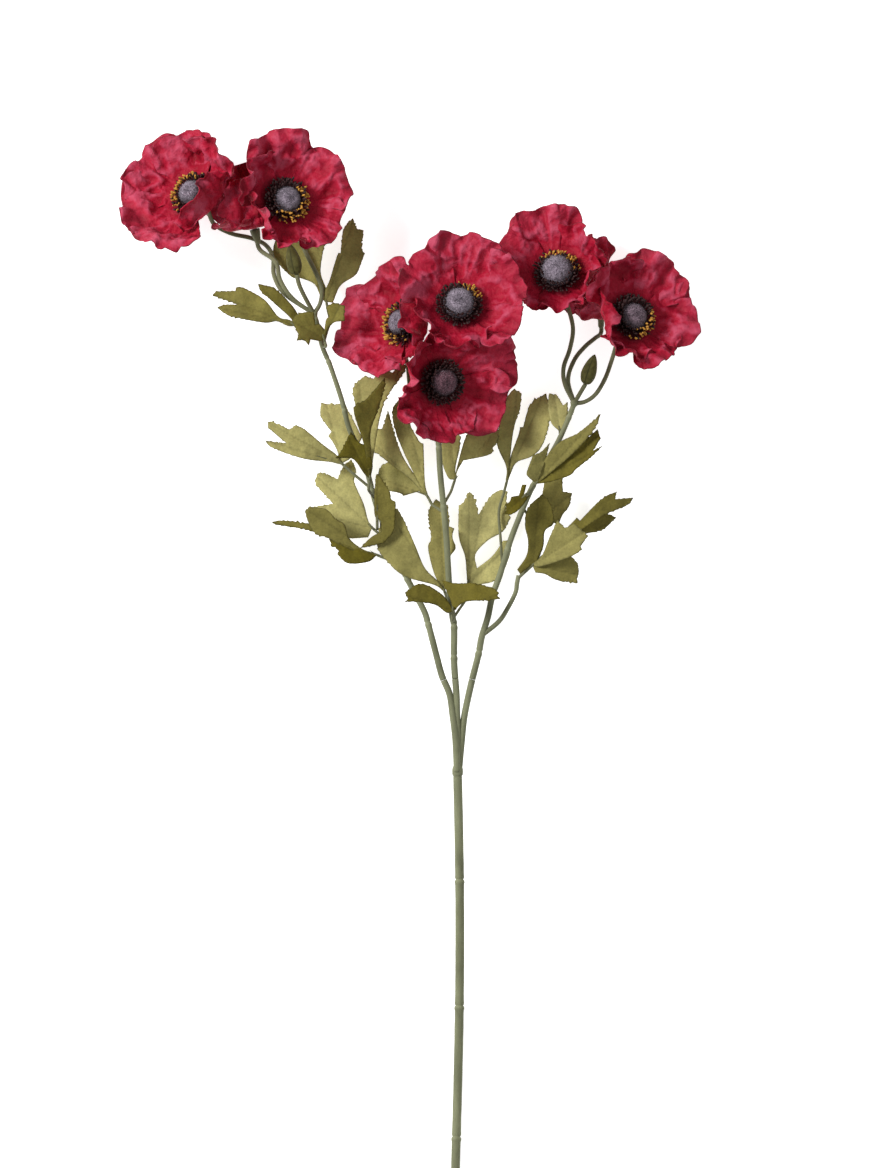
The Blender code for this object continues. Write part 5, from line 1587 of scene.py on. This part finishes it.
class POPPY_OT_stage(bpy.types.Operator):
    """Make the white table, the soft lights and the camera."""
    bl_idname = "poppy.stage"
    bl_label = "Table, lights and camera"

    def execute(self, context):
        scene = context.scene
        mesh = bpy.data.meshes.new("table")
        corners = [(TABLE_REACH * x, TABLE_REACH * y, 0) for x, y in ((-1, -1), (1, -1), (1, 1), (-1, 1))]
        mesh.from_pydata(corners, [], [(0, 1, 2, 3)])
        table = bpy.data.objects.new("table", mesh)
        table.location.z = -TABLE_DROP
        scene.collection.objects.link(table)
        finish = Finish("table_white")
        finish.surface(Base_Color=rgba([TABLE_GREY] * 3), Roughness=0.9, Emission_Color=(1, 1, 1, 1),
                       Emission_Strength=TABLE_GLOW)
        mesh.materials.append(finish.material)
        self.add_light("key", *KEY_LIGHT)
        self.add_light("fill", *FILL_LIGHT)
        world = bpy.data.worlds.new("studio")
        world.use_nodes = True
        background = world.node_tree.nodes["Background"]
        background.inputs["Color"].default_value = (1, 1, 1, 1)
        background.inputs["Strength"].default_value = STUDIO_BRIGHTNESS
        scene.world = world
        camera_data = bpy.data.cameras.new("camera")
        camera_data.sensor_fit = "VERTICAL"
        camera_data.sensor_height = SENSOR_HEIGHT
        camera_data.lens = SENSOR_HEIGHT * VIEW_DISTANCE / VIEW_HEIGHT
        camera_data.clip_end = FAR_CLIP
        camera = bpy.data.objects.new("camera", camera_data)
        camera.location = Vector((CAMERA_X, CAMERA_Y, CAMERA_Z)) * MM
        scene.collection.objects.link(camera)
        scene.camera = camera
        scene.view_settings.view_transform = "Standard"
        return {"FINISHED"}

    def add_light(self, name, place, size, power):
        """Add one soft square light that points at the middle of the spray."""
        data = bpy.data.lights.new(name, "AREA")
        data.size = size
        data.energy = power
        lamp = bpy.data.objects.new(name, data)
        lamp.location = place
        aim = Vector((CAMERA_X, CAMERA_Y, 0)) * MM - lamp.location
        lamp.rotation_euler = aim.to_track_quat("-Z", "Y").to_euler()
        bpy.context.scene.collection.objects.link(lamp)


class POPPY_PT_panel(bpy.types.Panel):
    """Lists the steps in the sidebar."""
    bl_idname = "POPPY_PT_panel"
    bl_label = "Poppy spray"
    bl_space_type = "VIEW_3D"
    bl_region_type = "UI"
    bl_category = "Poppy"

    def draw(self, context):
        for step in STEPS:
            self.layout.operator(step.bl_idname)
        for group in (context.scene.poppy_sizes, context.scene.poppy_colours):
            box = self.layout.box()
            for name in group.__annotations__:
                box.prop(group, name)


STEPS = (
    POPPY_OT_main_stem,
    POPPY_OT_branches,
    POPPY_OT_buds,
    POPPY_OT_petals,
    POPPY_OT_hearts,
    POPPY_OT_leaves,
    POPPY_OT_stage,
)
CLASSES = (PoppySizes, PoppyColours) + STEPS + (POPPY_PT_panel,)


def register():
    """Register the classes and hang the settings on the scene."""
    for item in CLASSES:
        bpy.utils.register_class(item)
    bpy.types.Scene.poppy_sizes = bpy.props.PointerProperty(type=PoppySizes)
    bpy.types.Scene.poppy_colours = bpy.props.PointerProperty(type=PoppyColours)


def unregister():
    """Take the settings and the classes away again."""
    del bpy.types.Scene.poppy_colours
    del bpy.types.Scene.poppy_sizes
    for item in reversed(CLASSES):
        bpy.utils.unregister_class(item)


def main():
    """Build every piece."""
    register()
    for step in (bpy.ops.poppy.main_stem, bpy.ops.poppy.branches, bpy.ops.poppy.buds, bpy.ops.poppy.petals,
                 bpy.ops.poppy.hearts, bpy.ops.poppy.leaves, bpy.ops.poppy.stage):
        step()


if __name__ == "__main__":
    main()
